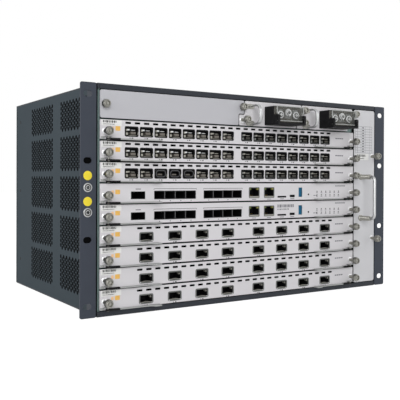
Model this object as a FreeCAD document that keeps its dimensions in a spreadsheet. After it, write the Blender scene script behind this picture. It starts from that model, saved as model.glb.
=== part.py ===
import FreeCAD, Part
import math
import os

import Sketcher
from FreeCAD import Placement, Rotation, Vector

# Optical line terminal: a six unit rack chassis with nine line and control cards, a blank panel,
# two power modules and a pull-out fan tray. Millimetres, +Z up, +X to the right seen from the
# front, +Y to the back. The origin is under the middle of the body, on the face it rests on.

SIZES = {
    # chassis
    "rack_width": 482.6,
    "chassis_depth": 298,
    "rail_height": 6.2,
    "slot_pitch": 24.2,
    "power_row_height": 33.7,
    "sheet_thickness": 1.5,
    "seat_gap": 0.3,
    # rack ears and their earth sockets
    "ear_width": 20.3,
    "ear_thickness": 2,
    "ear_flange": 26,
    "rack_hole_inset": 8.75,
    "rack_outer_rows": 238.1,
    "rack_inner_rows": 88.9,
    "rack_slot_width": 7,
    "rack_slot_length": 10,
    "socket_bore": 4,
    "socket_rim": 10.5,
    "socket_rim_height": 1.2,
    "socket_barrel": 8,
    "socket_length": 10,
    "socket_low_height": 118.3,
    "socket_spacing": 27.9,
    # side vents
    "vent_front_margin": 30.2,
    "vent_rear_margin": 70.1,
    "vent_column_gap": 26.7,
    "vent_bottom_margin": 15,
    "vent_top_margin": 8,
    "vent_row_gap": 4.8,
    "vent_slot_height": 7,
    # inner cage and backplane
    "cage_sheet": 1.2,
    "cage_flange": 11,
    "guide_reach": 17,
    "guide_thickness": 0.9,
    "backplane_setback": 240,
    "backplane_thickness": 3.2,
    "header_width": 120,
    "header_depth": 12,
    "header_height": 8,
    "connector_depth": 14,
    # cards
    "card_inset": 3.5,
    "plate_gap": 0.6,
    "plate_thickness": 2.5,
    "board_thickness": 1.6,
    "board_height": 1.6,
    "board_inset": 13,
    "cage_depth": 48,
    "cage_wall": 1.2,
    "port_right_margin": 43.7,
    "port_group_gap": 9.9,
    "port_divider": 3.4,
    "narrow_port_height": 11.1,
    "narrow_port_sill": 5.6,
    "narrow_port_start": 30.9,
    "wide_port_width": 17.5,
    "wide_port_height": 10.8,
    "wide_port_sill": 3.9,
    "wide_port_start": 50.1,
    "module_gap": 1.2,
    "module_nose": 1.5,
    # control card sockets
    "uplink_start": 38.1,
    "uplink_width": 19.9,
    "uplink_height": 10.2,
    "socket_sill": 4.6,
    "cell_pitch": 14.6,
    "cell_height": 10.2,
    "bay_gap": 11.2,
    "jack_gap": 11.2,
    "jack_spacing": 8.1,
    "socket_gap": 6.2,
    "jack_width": 16.5,
    "jack_height": 13.5,
    "jack_depth": 18,
    "memory_width": 14.9,
    "memory_height": 1.8,
    "mini_width": 8.8,
    "mini_height": 3.4,
    "service_width": 7,
    "pinhole_diameter": 2.4,
    "pinhole_height": 8.2,
    "button_diameter": 1.6,
    "button_length": 4,
    "button_travel": 0.4,
    # captive thumbscrews
    "screw_inset": 5.7,
    "screw_height": 10.2,
    "neck_diameter": 4.4,
    "neck_length": 9,
    "short_neck_length": 1,
    "knob_diameter": 10,
    "knob_length": 7,
    # ejector levers
    "lever_inset": 8.7,
    "lever_length": 67,
    "lever_thickness": 2.8,
    "lever_lift": 0.4,
    "lever_eye": 6,
    "lever_arm": 3.4,
    "lever_tab_length": 9,
    "lever_tab_reach": 6.5,
    "lug_thickness": 0.8,
    "lug_width": 7,
    "pivot_diameter": 2.4,
    "pivot_clearance": 0.25,
    # power modules and blank panel
    "power_pitch": 96,
    "power_edge": 1.7,
    "tab_width": 9,
    "tab_split": 15.9,
    "tray_length": 200,
    "tray_margin": 12,
    "filter_length": 90,
    "grip_offset": 20.4,
    "grip_base": 2.2,
    "grip_height": 26,
    "grip_reach": 20,
    "grip_thickness": 3,
    "grip_width": 4,
    "grip_bend": 6,
    "block_offset": 41,
    "block_width": 46.3,
    "block_base": 3,
    "block_height": 24,
    "block_depth": 19,
    "cheek_depth": 29,
    "cheek_height": 12.5,
    "cheek_width": 3,
    "lip_height": 2.3,
    "hinge_reach": 25,
    "hinge_height": 4.6,
    "hinge_diameter": 2.6,
    "cover_thickness": 1.5,
    "terminal_pitch": 13,
    "well_width": 10.5,
    "well_height": 13,
    "well_depth": 5,
    "terminal_diameter": 7.5,
    "terminal_height": 3,
    # fan tray
    "fan_plate_width": 42.5,
    "fan_edge_gap": 0.5,
    "fan_corner": 3,
    "fan_size": 118,
    "fan_thickness": 25.4,
    "fan_bore": 110,
    "fan_offset": 8,
    "fan_shelf": 1.2,
    "fan_start": 10,
    "hub_diameter": 38,
    "hub_start": 2,
    "hub_floor": 3.5,
    "strut_width": 16,
    "strut_thickness": 4,
    "spindle_diameter": 12,
    "spindle_clearance": 0.6,
    "blade_reach": 51.5,
    "blade_chord": 24,
    "blade_rise": 14,
    "blade_thickness": 1.6,
    "fan_grip_height": 130,
    "fan_grip_offset": 12.3,
    "fan_grip_span": 64,
    "fan_grip_reach": 29,
    "fan_grip_thickness": 4.4,
    "fan_grip_bend": 8,
    "fan_screw_spacing": 120,
}

# cards from the lowest slot to the highest, with the kind of each
CARDS = [
    ("wide_port_card_1", "wide"),
    ("wide_port_card_2", "wide"),
    ("wide_port_card_3", "wide"),
    ("wide_port_card_4", "wide"),
    ("lower_control_card", "control"),
    ("upper_control_card", "control"),
    ("narrow_port_card_1", "narrow"),
    ("narrow_port_card_2", "narrow"),
    ("narrow_port_card_3", "narrow"),
]
SLOTS = len(CARDS)
PITCHES_PER_GROUP = 8
PORT_COUNT = {"narrow": 8, "wide": 4}
CELLS = 4
VENT_ROWS = 5
VENT_SLOTS = 3
WINDOW_ROWS = 2
TERMINALS = 3
BLADES = 5
SLOT_CORNERS = 4
SHANK_SIDES = 4
PIN_SIDES = 6
KNOB_SIDES = 8
HUB_SIDES = 8
BORE_SIDES = 8
EYE_CORNERS = (75, 145, 215, 285)
NECK_OF_EYE = 1.5
MITRE = 0.586
BLADE_ROOT = 0.9

doc = FreeCAD.newDocument("optical_line_terminal")
sheet = doc.addObject("Spreadsheet::Sheet", "sizes")
for line, (alias, size) in enumerate(SIZES.items(), start=1):
    sheet.set(f"A{line}", alias)
    sheet.set(f"B{line}", str(size))
    sheet.setAlias(f"B{line}", alias)
doc.recompute()

# places shared by several pieces, as expressions of the sheet's sizes
HALF_BODY = "(sizes.rack_width / 2 - sizes.ear_width)"
RACK_HOLE_X = "(sizes.rack_width / 2 - sizes.rack_hole_inset)"
FRONT = "(-sizes.chassis_depth / 2)"
HEIGHT = f"(2 * sizes.rail_height + {SLOTS} * sizes.slot_pitch + sizes.power_row_height)"
INNER_LEFT = f"(-{HALF_BODY} + sizes.sheet_thickness)"
GUIDE_LEFT = f"({INNER_LEFT} + sizes.cage_sheet)"
FAN_RIGHT = f"({HALF_BODY} - sizes.fan_edge_gap)"
FAN_LEFT = f"({FAN_RIGHT} - sizes.fan_plate_width)"
CARD_LEFT = f"(-{HALF_BODY} + sizes.card_inset)"
CARD_RIGHT = f"({FAN_LEFT} - sizes.plate_gap)"
GUIDE_RIGHT = f"({CARD_RIGHT} - sizes.cage_sheet)"
PORT_PITCH = (f"(({CARD_RIGHT} - {CARD_LEFT} - sizes.narrow_port_start - sizes.port_right_margin"
              f" - sizes.port_group_gap) / {2 * PITCHES_PER_GROUP})")
PORT_WIDTH = {"narrow": f"({PORT_PITCH} - sizes.port_divider)", "wide": "sizes.wide_port_width"}
PLATE_BOTTOM = "(sizes.plate_gap / 2)"
PLATE_TOP = "(sizes.slot_pitch - sizes.plate_gap / 2)"
POWER_FLOOR = f"(sizes.rail_height + {SLOTS} * sizes.slot_pitch)"
POWER_TOP = "(sizes.power_row_height - sizes.plate_gap / 2)"
BEHIND_PLATE = "(sizes.plate_thickness + sizes.seat_gap)"
BOARD_LEFT = f"({CARD_LEFT} + sizes.board_inset)"
BOARD_RIGHT = f"({CARD_RIGHT} - sizes.board_inset)"
BOARD_TOP = "(sizes.board_height + sizes.board_thickness)"
GUIDE_END = "(sizes.backplane_setback - sizes.seat_gap)"
BOARD_END = "(sizes.backplane_setback - sizes.connector_depth / 2)"
HEADER_FRONT = "(sizes.backplane_setback - sizes.header_depth)"
HEADER_LEFT = f"(({CARD_LEFT} + {CARD_RIGHT} - sizes.header_width) / 2)"
LEVER_FLOOR = f"({PLATE_BOTTOM} + sizes.lever_lift)"
UPPER_LUG = f"({LEVER_FLOOR} + sizes.lever_thickness + sizes.pivot_clearance)"
PIVOT_REACH = "(sizes.lever_eye / 2 + sizes.pivot_clearance)"
ALONG_FRONT = Rotation(Vector(1, 0, 0), 90)
ALONG_X = Rotation(Vector(0, 1, 0), 90)

nodes = []


def value(expression):
    """Number that an expression gives with the sheet's sizes."""
    return float(sheet.evalExpression(expression))


def place(item, x="0", y="0", z="0", turn=Rotation()):
    """Put an object at a place given by expressions."""
    item.Placement = Placement(Vector(), turn)
    for axis, expression in zip("xyz", (x, y, z)):
        item.setExpression(f"Placement.Base.{axis}", expression)
    return item


def new_body(label, x="0", y="0", z="0", turn=Rotation()):
    """Empty body at a place of its own."""
    body = doc.addObject("PartDesign::Body", label)
    body.Label = label
    return place(body, x, y, z, turn)


def origin_feature(body, role):
    """Plane or axis of a body's own origin."""
    return next(item for item in body.Origin.OriginFeatures if item.Role == role)


def sketch_on(body, name, role, offset="0"):
    """Empty sketch on one of a body's origin planes, moved along the plane's normal."""
    sketch = body.newObject("Sketcher::SketchObject", name)
    sketch.AttachmentSupport = [(origin_feature(body, role), "")]
    sketch.MapMode = "FlatFace"
    sketch.setExpression("AttachmentOffset.Base.z", offset)
    return sketch


def set_point(sketch, geometry, point, x, y):
    """Tie one point of a sketch to two expressions."""
    for kind, expression in (("DistanceX", x), ("DistanceY", y)):
        constraint = Sketcher.Constraint(kind, -1, 1, geometry, point, value(expression))
        index = sketch.addConstraint(constraint)
        sketch.setExpression(f"Constraints[{index}]", expression)


def add_outline(sketch, corners):
    """Closed straight-sided outline whose corners are pairs of expressions."""
    points = [Vector(value(x), value(y), 0) for x, y in corners]
    count = len(points)
    first = sketch.GeometryCount
    for number, point in enumerate(points):
        sketch.addGeometry(Part.LineSegment(point, points[(number + 1) % count]))
    for number in range(count):
        following = first + (number + 1) % count
        sketch.addConstraint(Sketcher.Constraint("Coincident", first + number, 2, following, 1))
    for number, (x, y) in enumerate(corners):
        set_point(sketch, first + number, 1, x, y)


def rectangle(left, bottom, right, top):
    """Corners of a rectangle, as expressions."""
    return [(left, bottom), (right, bottom), (right, top), (left, top)]


def polygon(x, y, radius, sides):
    """Corners of a regular polygon, as expressions."""
    angles = [(number + 0.5) * 360 / sides for number in range(sides)]
    return [(f"{x} + {radius} * cos({a} deg)", f"{y} + {radius} * sin({a} deg)") for a in angles]


def round_hole(x, y, radius, sides):
    """Corners of a many-sided hole that a round pin of this radius just passes."""
    return polygon(x, y, f"{radius} / cos({180 / sides} deg)", sides)


def obround(x, y, length, width):
    """Corners of a slot along the sketch's first axis, with many-sided round ends."""
    corners = []
    for side, first in ((1, -90), (-1, 90)):
        middle = f"{x} + {side} * ({length} - {width}) / 2"
        for step in range(SLOT_CORNERS):
            angle = first + step * 180 / (SLOT_CORNERS - 1)
            corners.append((f"{middle} + {width} / 2 * cos({angle} deg)",
                            f"{y} + {width} / 2 * sin({angle} deg)"))
    return corners


def add_slot(sketch, x, y, length, width):
    """Slot along the sketch's first axis, with round ends."""
    arcs = []
    for side in (1, -1):
        centre = f"{x} + {side} * ({length} - {width}) / 2"
        circle = Part.Circle(Vector(value(centre), value(y), 0), Vector(0, 0, 1), value(f"{width} / 2"))
        start = -side * math.pi / 2
        arc = sketch.addGeometry(Part.ArcOfCircle(circle, start, start + math.pi))
        set_point(sketch, arc, 3, centre, y)
        radius = sketch.addConstraint(Sketcher.Constraint("Radius", arc, value(f"{width} / 2")))
        sketch.setExpression(f"Constraints[{radius}]", f"{width} / 2")
        for end in (1, 2):
            sketch.addConstraint(Sketcher.Constraint("Vertical", arc, end, arc, 3))
        arcs.append(arc)
    for first, second in (arcs, reversed(arcs)):
        start = sketch.getPoint(first, 2)
        end = sketch.getPoint(second, 1)
        line = sketch.addGeometry(Part.LineSegment(start, end))
        sketch.addConstraint(Sketcher.Constraint("Coincident", line, 1, first, 2))
        sketch.addConstraint(Sketcher.Constraint("Coincident", line, 2, second, 1))


def pad(body, sketch, length, reverse=False):
    """Solid from a sketch, along the sketch's normal or against it."""
    feature = body.newObject("PartDesign::Pad", f"{sketch.Name}_pad")
    feature.Profile = sketch
    feature.Reversed = reverse
    feature.setExpression("Length", length)
    return feature


def cut(body, sketch, depth=None, reverse=False):
    """Pocket from a sketch, right through where no depth is given."""
    feature = body.newObject("PartDesign::Pocket", f"{sketch.Name}_cut")
    feature.Profile = sketch
    feature.Reversed = reverse
    if depth is None:
        feature.Type = "ThroughAll"
    else:
        feature.setExpression("Length", depth)
    return feature


def row(body, feature, axis, pitch, count):
    """Repeat a feature along one of the body's axes."""
    pattern = body.newObject("PartDesign::LinearPattern", f"{feature.Name}_row")
    pattern.Originals = [feature]
    pattern.Direction = (origin_feature(body, axis), [""])
    pattern.setExpression("Length", f"{count - 1} * ({pitch})")
    pattern.Occurrences = count
    body.Tip = pattern
    return pattern


def block(label, left, front, bottom, size_x, size_y, size_z):
    """Plain box at a place given by expressions."""
    item = doc.addObject("Part::Box", label)
    item.setExpression("Length", size_x)
    item.setExpression("Width", size_y)
    item.setExpression("Height", size_z)
    return place(item, left, front, bottom)


def prism(label, sides, diameter, length, x, y, z, turn):
    """Many-sided rod, starting at a place and running along the turned axis."""
    item = doc.addObject("Part::Prism", label)
    item.Polygon = sides
    item.setExpression("Circumradius", f"{diameter} / 2")
    item.setExpression("Height", length)
    return place(item, x, y, z, turn)


def fuse(label, items):
    """One solid from several that meet."""
    item = doc.addObject("Part::MultiFuse", label)
    item.Shapes = items
    return item


def keep(item):
    """Take an object as a finished piece."""
    nodes.append(item)
    return item


def group(label, items):
    """One finished piece made of several solids."""
    item = doc.addObject("Part::Compound", label)
    item.Label = label
    item.Links = items
    return keep(item)


def thumbscrew(name, x, z, neck_length="sizes.neck_length"):
    """Captive screw: a slim neck and a knob with grip flats, standing on a front plate."""
    knob_start = f"{FRONT} - {neck_length}"
    neck = prism(f"{name}_neck", SHANK_SIDES, "sizes.neck_diameter", neck_length,
                 x, FRONT, z, ALONG_FRONT)
    knob = prism(f"{name}_knob", KNOB_SIDES, "sizes.knob_diameter", "sizes.knob_length",
                 x, knob_start, z, ALONG_FRONT)
    return fuse(name, [neck, knob])


def side_panel(label, x):
    """Upright side sheet with two columns of vent fields, each a stack of slots."""
    body = new_body(label, x, FRONT)
    sheet_outline = sketch_on(body, f"{label}_outline", "YZ_Plane")
    floor = "sizes.sheet_thickness"
    ceiling = f"{HEIGHT} - sizes.sheet_thickness"
    add_outline(sheet_outline, rectangle(BEHIND_PLATE, floor, "sizes.chassis_depth", ceiling))
    pad(body, sheet_outline, "sizes.sheet_thickness")
    column = ("((sizes.chassis_depth - sizes.vent_front_margin - sizes.vent_rear_margin"
              " - sizes.vent_column_gap) / 2)")
    pitch = f"(({HEIGHT} - sizes.vent_bottom_margin - sizes.vent_top_margin) / {VENT_ROWS})"
    field = f"({pitch} - sizes.vent_row_gap)"
    field_floor = "(sizes.vent_bottom_margin + sizes.vent_row_gap / 2)"
    step = f"(({field} - sizes.vent_slot_height) / {VENT_SLOTS - 1})"
    vents = sketch_on(body, f"{label}_vents", "YZ_Plane")
    for column_number in range(2):
        start = f"(sizes.vent_front_margin + {column_number} * ({column} + sizes.vent_column_gap))"
        for slot in range(VENT_SLOTS):
            low = f"({field_floor} + {slot} * {step})"
            high = f"({low} + sizes.vent_slot_height)"
            add_outline(vents, rectangle(start, low, f"{start} + {column}", high))
    row(body, cut(body, vents, reverse=True), "Z_Axis", pitch, VENT_ROWS)
    return keep(body)


def cover_sheet(label, z, lip_bottom, lip_top):
    """Flat top or bottom sheet with the front rail folded from it."""
    body = new_body(label, "0", FRONT, z)
    flat = sketch_on(body, f"{label}_flat", "XY_Plane")
    add_outline(flat, rectangle(f"-{HALF_BODY}", "0", HALF_BODY, "sizes.chassis_depth"))
    pad(body, flat, "sizes.sheet_thickness")
    rail = sketch_on(body, f"{label}_rail", "XZ_Plane")
    add_outline(rail, rectangle(GUIDE_LEFT, lip_bottom, f"-{GUIDE_LEFT}", lip_top))
    pad(body, rail, "sizes.sheet_thickness", reverse=True)
    return keep(body)


def mounting_ear(label, side):
    """Angle bracket: a slotted front flange and a flange along the body's side."""
    body = new_body(label, "0", FRONT)
    angle = sketch_on(body, f"{label}_angle", "XY_Plane")
    tip = f"{side} * sizes.rack_width / 2"
    root = f"{side} * {HALF_BODY}"
    outside = f"{side} * ({HALF_BODY} + sizes.sheet_thickness)"
    add_outline(angle, [
        (tip, "0"),
        (root, "0"),
        (root, "sizes.ear_flange"),
        (outside, "sizes.ear_flange"),
        (outside, "sizes.ear_thickness"),
        (tip, "sizes.ear_thickness"),
    ])
    pad(body, angle, HEIGHT)
    holes = sketch_on(body, f"{label}_slots", "XZ_Plane")
    middle = f"{side} * {RACK_HOLE_X}"
    length, width = "sizes.rack_slot_length", "sizes.rack_slot_width"
    for sign in (-1, 1):
        add_slot(holes, middle, f"{HEIGHT} / 2 + {sign} * sizes.rack_outer_rows / 2", length, width)
        inner = f"{HEIGHT} / 2 + {sign} * sizes.rack_inner_rows / 2"
        add_outline(holes, obround(middle, inner, length, width))
    cut(body, holes)
    return keep(body)


def add_socket_holes(ear):
    """Round holes for the earth sockets in the left ear."""
    holes = sketch_on(ear, "earth_socket_holes", "XZ_Plane")
    for number in range(2):
        height = f"sizes.socket_low_height + {number} * sizes.socket_spacing"
        radius = "(sizes.socket_barrel / 2 + sizes.seat_gap)"
        add_outline(holes, round_hole(f"-{RACK_HOLE_X}", height, radius, KNOB_SIDES))
    cut(ear, holes)


def earth_sockets():
    """Two plug sockets for a wrist strap: a rim on the ear, a barrel through it and a bore."""
    x = f"-{RACK_HOLE_X}"
    sockets = []
    for number in range(2):
        name = f"earth_socket_{number + 1}"
        z = f"sizes.socket_low_height + {number} * sizes.socket_spacing"
        rim = prism(f"{name}_rim", HUB_SIDES, "sizes.socket_rim", "sizes.socket_rim_height",
                    x, FRONT, z, ALONG_FRONT)
        barrel_end = f"{FRONT} + sizes.socket_length - sizes.socket_rim_height"
        barrel = prism(f"{name}_barrel", KNOB_SIDES, "sizes.socket_barrel", "sizes.socket_length",
                       x, barrel_end, z, ALONG_FRONT)
        bore = prism(f"{name}_bore", PIN_SIDES, "sizes.socket_bore", "sizes.socket_length",
                     x, barrel_end, z, ALONG_FRONT)
        socket = doc.addObject("Part::Cut", name)
        socket.Base = fuse(f"{name}_solid", [rim, barrel])
        socket.Tool = bore
        sockets.append(socket)
    group("earth_sockets", sockets)


def card_cage():
    """Welded inner cage: two walls with air windows, card guides and the power shelf."""
    body = new_body("card_cage", "0", FRONT)
    shelf_floor = f"({POWER_FLOOR} - sizes.cage_sheet / 2)"
    shelf = sketch_on(body, "power_shelf", "XY_Plane", shelf_floor)
    add_outline(shelf, rectangle(INNER_LEFT, BEHIND_PLATE, CARD_RIGHT, GUIDE_END))
    pad(body, shelf, "sizes.cage_sheet")
    back = "sizes.backplane_setback + sizes.backplane_thickness"
    flange_back = f"{BEHIND_PLATE} + sizes.cage_sheet"
    walls = sketch_on(body, "cage_walls", "XY_Plane", "sizes.sheet_thickness")
    for outer, inner, flange_tip in (
        (INNER_LEFT, GUIDE_LEFT, f"{INNER_LEFT} + sizes.cage_flange"),
        (CARD_RIGHT, GUIDE_RIGHT, f"{CARD_RIGHT} - sizes.cage_flange"),
    ):
        add_outline(walls, [
            (outer, BEHIND_PLATE),
            (flange_tip, BEHIND_PLATE),
            (flange_tip, flange_back),
            (inner, flange_back),
            (inner, back),
            (outer, back),
        ])
    pad(body, walls, f"{HEIGHT} - 2 * sizes.sheet_thickness")
    guide_top = "(sizes.rail_height + sizes.board_height - sizes.seat_gap)"
    guide_floor = f"{guide_top} - sizes.guide_thickness"
    left_guide = rectangle(INNER_LEFT, guide_floor, f"{INNER_LEFT} + sizes.guide_reach", guide_top)
    right_guide = rectangle(f"{CARD_RIGHT} - sizes.guide_reach", guide_floor, CARD_RIGHT, guide_top)
    guides = sketch_on(body, "card_guides", "XZ_Plane", f"-{BEHIND_PLATE}")
    add_outline(guides, left_guide)
    add_outline(guides, right_guide)
    guide_pad = pad(body, guides, f"{GUIDE_END} - {BEHIND_PLATE}", reverse=True)
    row(body, guide_pad, "Z_Axis", "sizes.slot_pitch", SLOTS)
    margin = "sizes.cage_flange"
    span = f"({SLOTS} * sizes.slot_pitch / {WINDOW_ROWS})"
    window_floor = f"(sizes.rail_height + {margin} / 2)"
    for word, wall in (("intake", INNER_LEFT), ("exhaust", GUIDE_RIGHT)):
        windows = sketch_on(body, f"{word}_windows", "YZ_Plane", wall)
        add_outline(windows, rectangle(f"{BEHIND_PLATE} + {margin}", window_floor,
                                       f"{GUIDE_END} - {margin}", f"{window_floor} + {span} - {margin}"))
        window_cut = cut(body, windows, "sizes.cage_sheet", reverse=True)
        row(body, window_cut, "Z_Axis", span, WINDOW_ROWS)
    return keep(body)


def backplane():
    """Upright board behind the cards, with one header for each slot."""
    body = new_body("backplane_board", "0", f"{FRONT} + sizes.backplane_setback")
    board = sketch_on(body, "backplane_outline", "XZ_Plane")
    add_outline(board, rectangle(GUIDE_LEFT, "sizes.rail_height", GUIDE_RIGHT,
                                 f"{HEIGHT} - sizes.rail_height"))
    pad(body, board, "sizes.backplane_thickness", reverse=True)
    header = sketch_on(body, "slot_header", "XZ_Plane")
    floor = f"(sizes.rail_height + {BOARD_TOP} + sizes.seat_gap)"
    add_outline(header, rectangle(HEADER_LEFT, floor, f"{HEADER_LEFT} + sizes.header_width",
                                  f"{floor} + sizes.header_height"))
    row(body, pad(body, header, "sizes.header_depth"), "Z_Axis", "sizes.slot_pitch", SLOTS)
    return keep(body)


def slot_floor(slot):
    """Height of a slot's lower edge."""
    return f"(sizes.rail_height + {slot} * sizes.slot_pitch)"


def group_start(kind, number):
    """Left edge of the first port in a group of ports."""
    return (f"({CARD_LEFT} + sizes.{kind}_port_start"
            f" + {number} * ({PITCHES_PER_GROUP} * {PORT_PITCH} + sizes.port_group_gap))")


def port_step(kind):
    """Distance from one port to the next on a card of this kind."""
    return f"{PITCHES_PER_GROUP // PORT_COUNT[kind]} * {PORT_PITCH}"


def control_sockets():
    """Left edge, width, sill and height of each single window of a control card, in order."""
    uplink = f"({CARD_LEFT} + sizes.uplink_start)"
    jack = f"({cell_bay(1)} + {CELLS} * sizes.cell_pitch + sizes.jack_gap)"
    second_jack = f"({jack} + sizes.jack_width + sizes.jack_spacing)"
    memory = f"({second_jack} + sizes.jack_width + sizes.socket_gap)"
    mini = f"({memory} + sizes.memory_width + sizes.socket_gap)"
    service = f"({mini} + sizes.mini_width + sizes.socket_gap)"
    return {
        "uplink": (uplink, "sizes.uplink_width", "sizes.uplink_height"),
        "jack_1": (jack, "sizes.jack_width", "sizes.jack_height"),
        "jack_2": (second_jack, "sizes.jack_width", "sizes.jack_height"),
        "memory": (memory, "sizes.memory_width", "sizes.memory_height"),
        "mini": (mini, "sizes.mini_width", "sizes.mini_height"),
        "service": (service, "sizes.service_width", "sizes.jack_height"),
    }


def cell_bay(number):
    """Left edge of one of a control card's two bays of small cells."""
    return (f"({CARD_LEFT} + sizes.uplink_start + sizes.uplink_width + sizes.bay_gap"
            f" + {number} * ({CELLS} * sizes.cell_pitch + sizes.bay_gap))")


def pinhole_x():
    """Middle of the reset pinhole."""
    left, width, _ = control_sockets()["service"]
    return f"({left} + {width} + sizes.jack_gap)"


def add_port_windows(body, name, kind):
    """Two groups of port windows in a line card's plate."""
    windows = sketch_on(body, f"{name}_windows", "XZ_Plane")
    sill = f"sizes.{kind}_port_sill"
    for number in range(2):
        left = group_start(kind, number)
        right = f"{left} + {PORT_WIDTH[kind]}"
        add_outline(windows, rectangle(left, sill, right, f"{sill} + sizes.{kind}_port_height"))
    row(body, cut(body, windows), "X_Axis", port_step(kind), PORT_COUNT[kind])


def socket_window(left, width, height):
    """Outline of a window in a control card's plate."""
    sill = "sizes.socket_sill"
    return rectangle(left, sill, f"{left} + {width}", f"{sill} + {height}")


def control_windows():
    """Windows of a control card by section of its plate: uplink, two bays, two jacks, small slots."""
    single = {word: socket_window(*size) for word, size in control_sockets().items()}
    span = f"{CELLS} * sizes.cell_pitch"
    bays = [socket_window(cell_bay(number), span, "sizes.cell_height") for number in range(2)]
    pinhole = round_hole(pinhole_x(), "sizes.pinhole_height", "sizes.pinhole_diameter / 2", KNOB_SIDES)
    small = [single["memory"], single["mini"], single["service"], pinhole]
    return [[single["uplink"]], [bays[0]], [bays[1]], [single["jack_1"]], [single["jack_2"]], small]


def control_section_edges():
    """Upright edges of the sections of a control card's plate, midway between windows."""
    edges = [CARD_LEFT]
    edges += [f"({cell_bay(number)} - sizes.bay_gap / 2)" for number in range(2)]
    for word, gap in (("jack_1", "jack_gap"), ("jack_2", "jack_spacing"), ("memory", "socket_gap")):
        edges.append(f"({control_sockets()[word][0]} - sizes.{gap} / 2)")
    return edges + [CARD_RIGHT]


def plate_stretch(name, floor, left, right):
    """Flat stretch of a card's plate between two upright edges."""
    body = new_body(name, "0", FRONT, floor)
    outline = sketch_on(body, f"{name}_outline", "XZ_Plane")
    add_outline(outline, rectangle(left, PLATE_BOTTOM, right, PLATE_TOP))
    pad(body, outline, "sizes.plate_thickness", reverse=True)
    return body


def control_plate(name, floor):
    """Plate of a control card, in sections side by side, so that each is a plain ring round its window."""
    edges = control_section_edges()
    sections = []
    for number, windows in enumerate(control_windows()):
        body = plate_stretch(f"{name}_plate_{number + 1}", floor, edges[number], edges[number + 1])
        openings = sketch_on(body, f"{name}_windows_{number + 1}", "XZ_Plane")
        for outline in windows:
            add_outline(openings, outline)
        cut(body, openings)
        sections.append(body)
    return sections


def port_plate(name, floor, kind):
    """Plate of a line card with its ports' windows."""
    body = plate_stretch(f"{name}_plate", floor, CARD_LEFT, CARD_RIGHT)
    add_port_windows(body, name, kind)
    return [body]


def lever_pivot(side):
    """Lever pivot's place along the front, near the left or the right end of a card."""
    if side < 0:
        return f"({CARD_LEFT} + sizes.lever_inset)"
    return f"({CARD_RIGHT} - sizes.lever_inset)"


def pivot_lug(name, floor, side):
    """Lug on a card's plate, with the pin that hangs from it and carries a lever."""
    reach = f"{PIVOT_REACH} + sizes.lever_eye / 2"
    lug = block(f"{name}_plate", f"{lever_pivot(side)} - sizes.lug_width / 2", f"{FRONT} - ({reach})",
                f"{floor} + {UPPER_LUG}", "sizes.lug_width", reach, "sizes.lug_thickness")
    pin = prism(f"{name}_pin", PIN_SIDES, "sizes.pivot_diameter", f"{UPPER_LUG} - {PLATE_BOTTOM}",
                lever_pivot(side), f"{FRONT} - {PIVOT_REACH}", f"{floor} + {PLATE_BOTTOM}", Rotation())
    return fuse(name, [lug, pin])


def card_faceplate(name, slot, kind):
    """Front plate of a card with its windows, two pivot lugs and two thumbscrews."""
    floor = slot_floor(slot)
    plates = control_plate(name, floor) if kind == "control" else port_plate(name, floor, kind)
    lugs = [pivot_lug(f"{name}_left_lug", floor, -1), pivot_lug(f"{name}_right_lug", floor, 1)]
    height = f"{floor} + sizes.screw_height"
    left_screw = thumbscrew(f"{name}_left_screw", f"{CARD_LEFT} + sizes.screw_inset", height)
    right_screw = thumbscrew(f"{name}_right_screw", f"{CARD_RIGHT} - sizes.screw_inset", height)
    group(f"{name}_faceplate", plates + [left_screw, right_screw] + lugs)


def module_cage(name, slot, kind, number):
    """Row of cages behind the plate, which closes the windows of one group of ports."""
    left = f"{group_start(kind, number)} - sizes.cage_wall"
    span = f"({PORT_COUNT[kind] - 1} * {port_step(kind)} + {PORT_WIDTH[kind]})"
    top = f"(sizes.{kind}_port_sill + sizes.{kind}_port_height + sizes.cage_wall)"
    return block(f"{name}_cage_{number + 1}", left, f"{FRONT} + sizes.plate_thickness",
                 f"{slot_floor(slot)} + {BOARD_TOP}", f"{span} + 2 * sizes.cage_wall",
                 "sizes.cage_depth", f"{top} - {BOARD_TOP}")


def module_noses(name, slot, number):
    """Front ends of the transceivers fitted in one group of narrow ports."""
    gap = "sizes.module_gap"
    noses = []
    for port in range(PORT_COUNT["narrow"]):
        left = f"{group_start('narrow', number)} + {port} * {PORT_PITCH} + {gap}"
        bottom = f"{slot_floor(slot)} + sizes.narrow_port_sill + {gap}"
        noses.append(block(f"{name}_module_{number + 1}_{port + 1}", left,
                           f"{FRONT} - sizes.module_nose", bottom,
                           f"{PORT_WIDTH['narrow']} - 2 * {gap}",
                           "sizes.plate_thickness + sizes.module_nose",
                           f"sizes.narrow_port_height - 2 * {gap}"))
    return noses


def socket_shell(name, slot, left, width, height, depth, cells=1):
    """Empty cage behind a window: a shell with one pocket, or a row of them, open to the front."""
    body = new_body(name, "0", FRONT, slot_floor(slot))
    wall = "sizes.cage_wall"
    sill = "sizes.socket_sill"
    behind = "-sizes.plate_thickness"
    case = sketch_on(body, f"{name}_case", "XZ_Plane", behind)
    add_outline(case, rectangle(f"{left} - {wall}", BOARD_TOP, f"{left} + {cells} * {width} + {wall}",
                                f"{sill} + {height} + {wall}"))
    pad(body, case, depth, reverse=True)
    pocket = sketch_on(body, f"{name}_pocket", "XZ_Plane", behind)
    add_outline(pocket, rectangle(f"{left} + {wall} / 2", sill, f"{left} + {width} - {wall} / 2",
                                  f"{sill} + {height}"))
    feature = cut(body, pocket, f"{depth} - {wall}")
    if cells > 1:
        row(body, feature, "X_Axis", width, cells)
    return body


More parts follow.
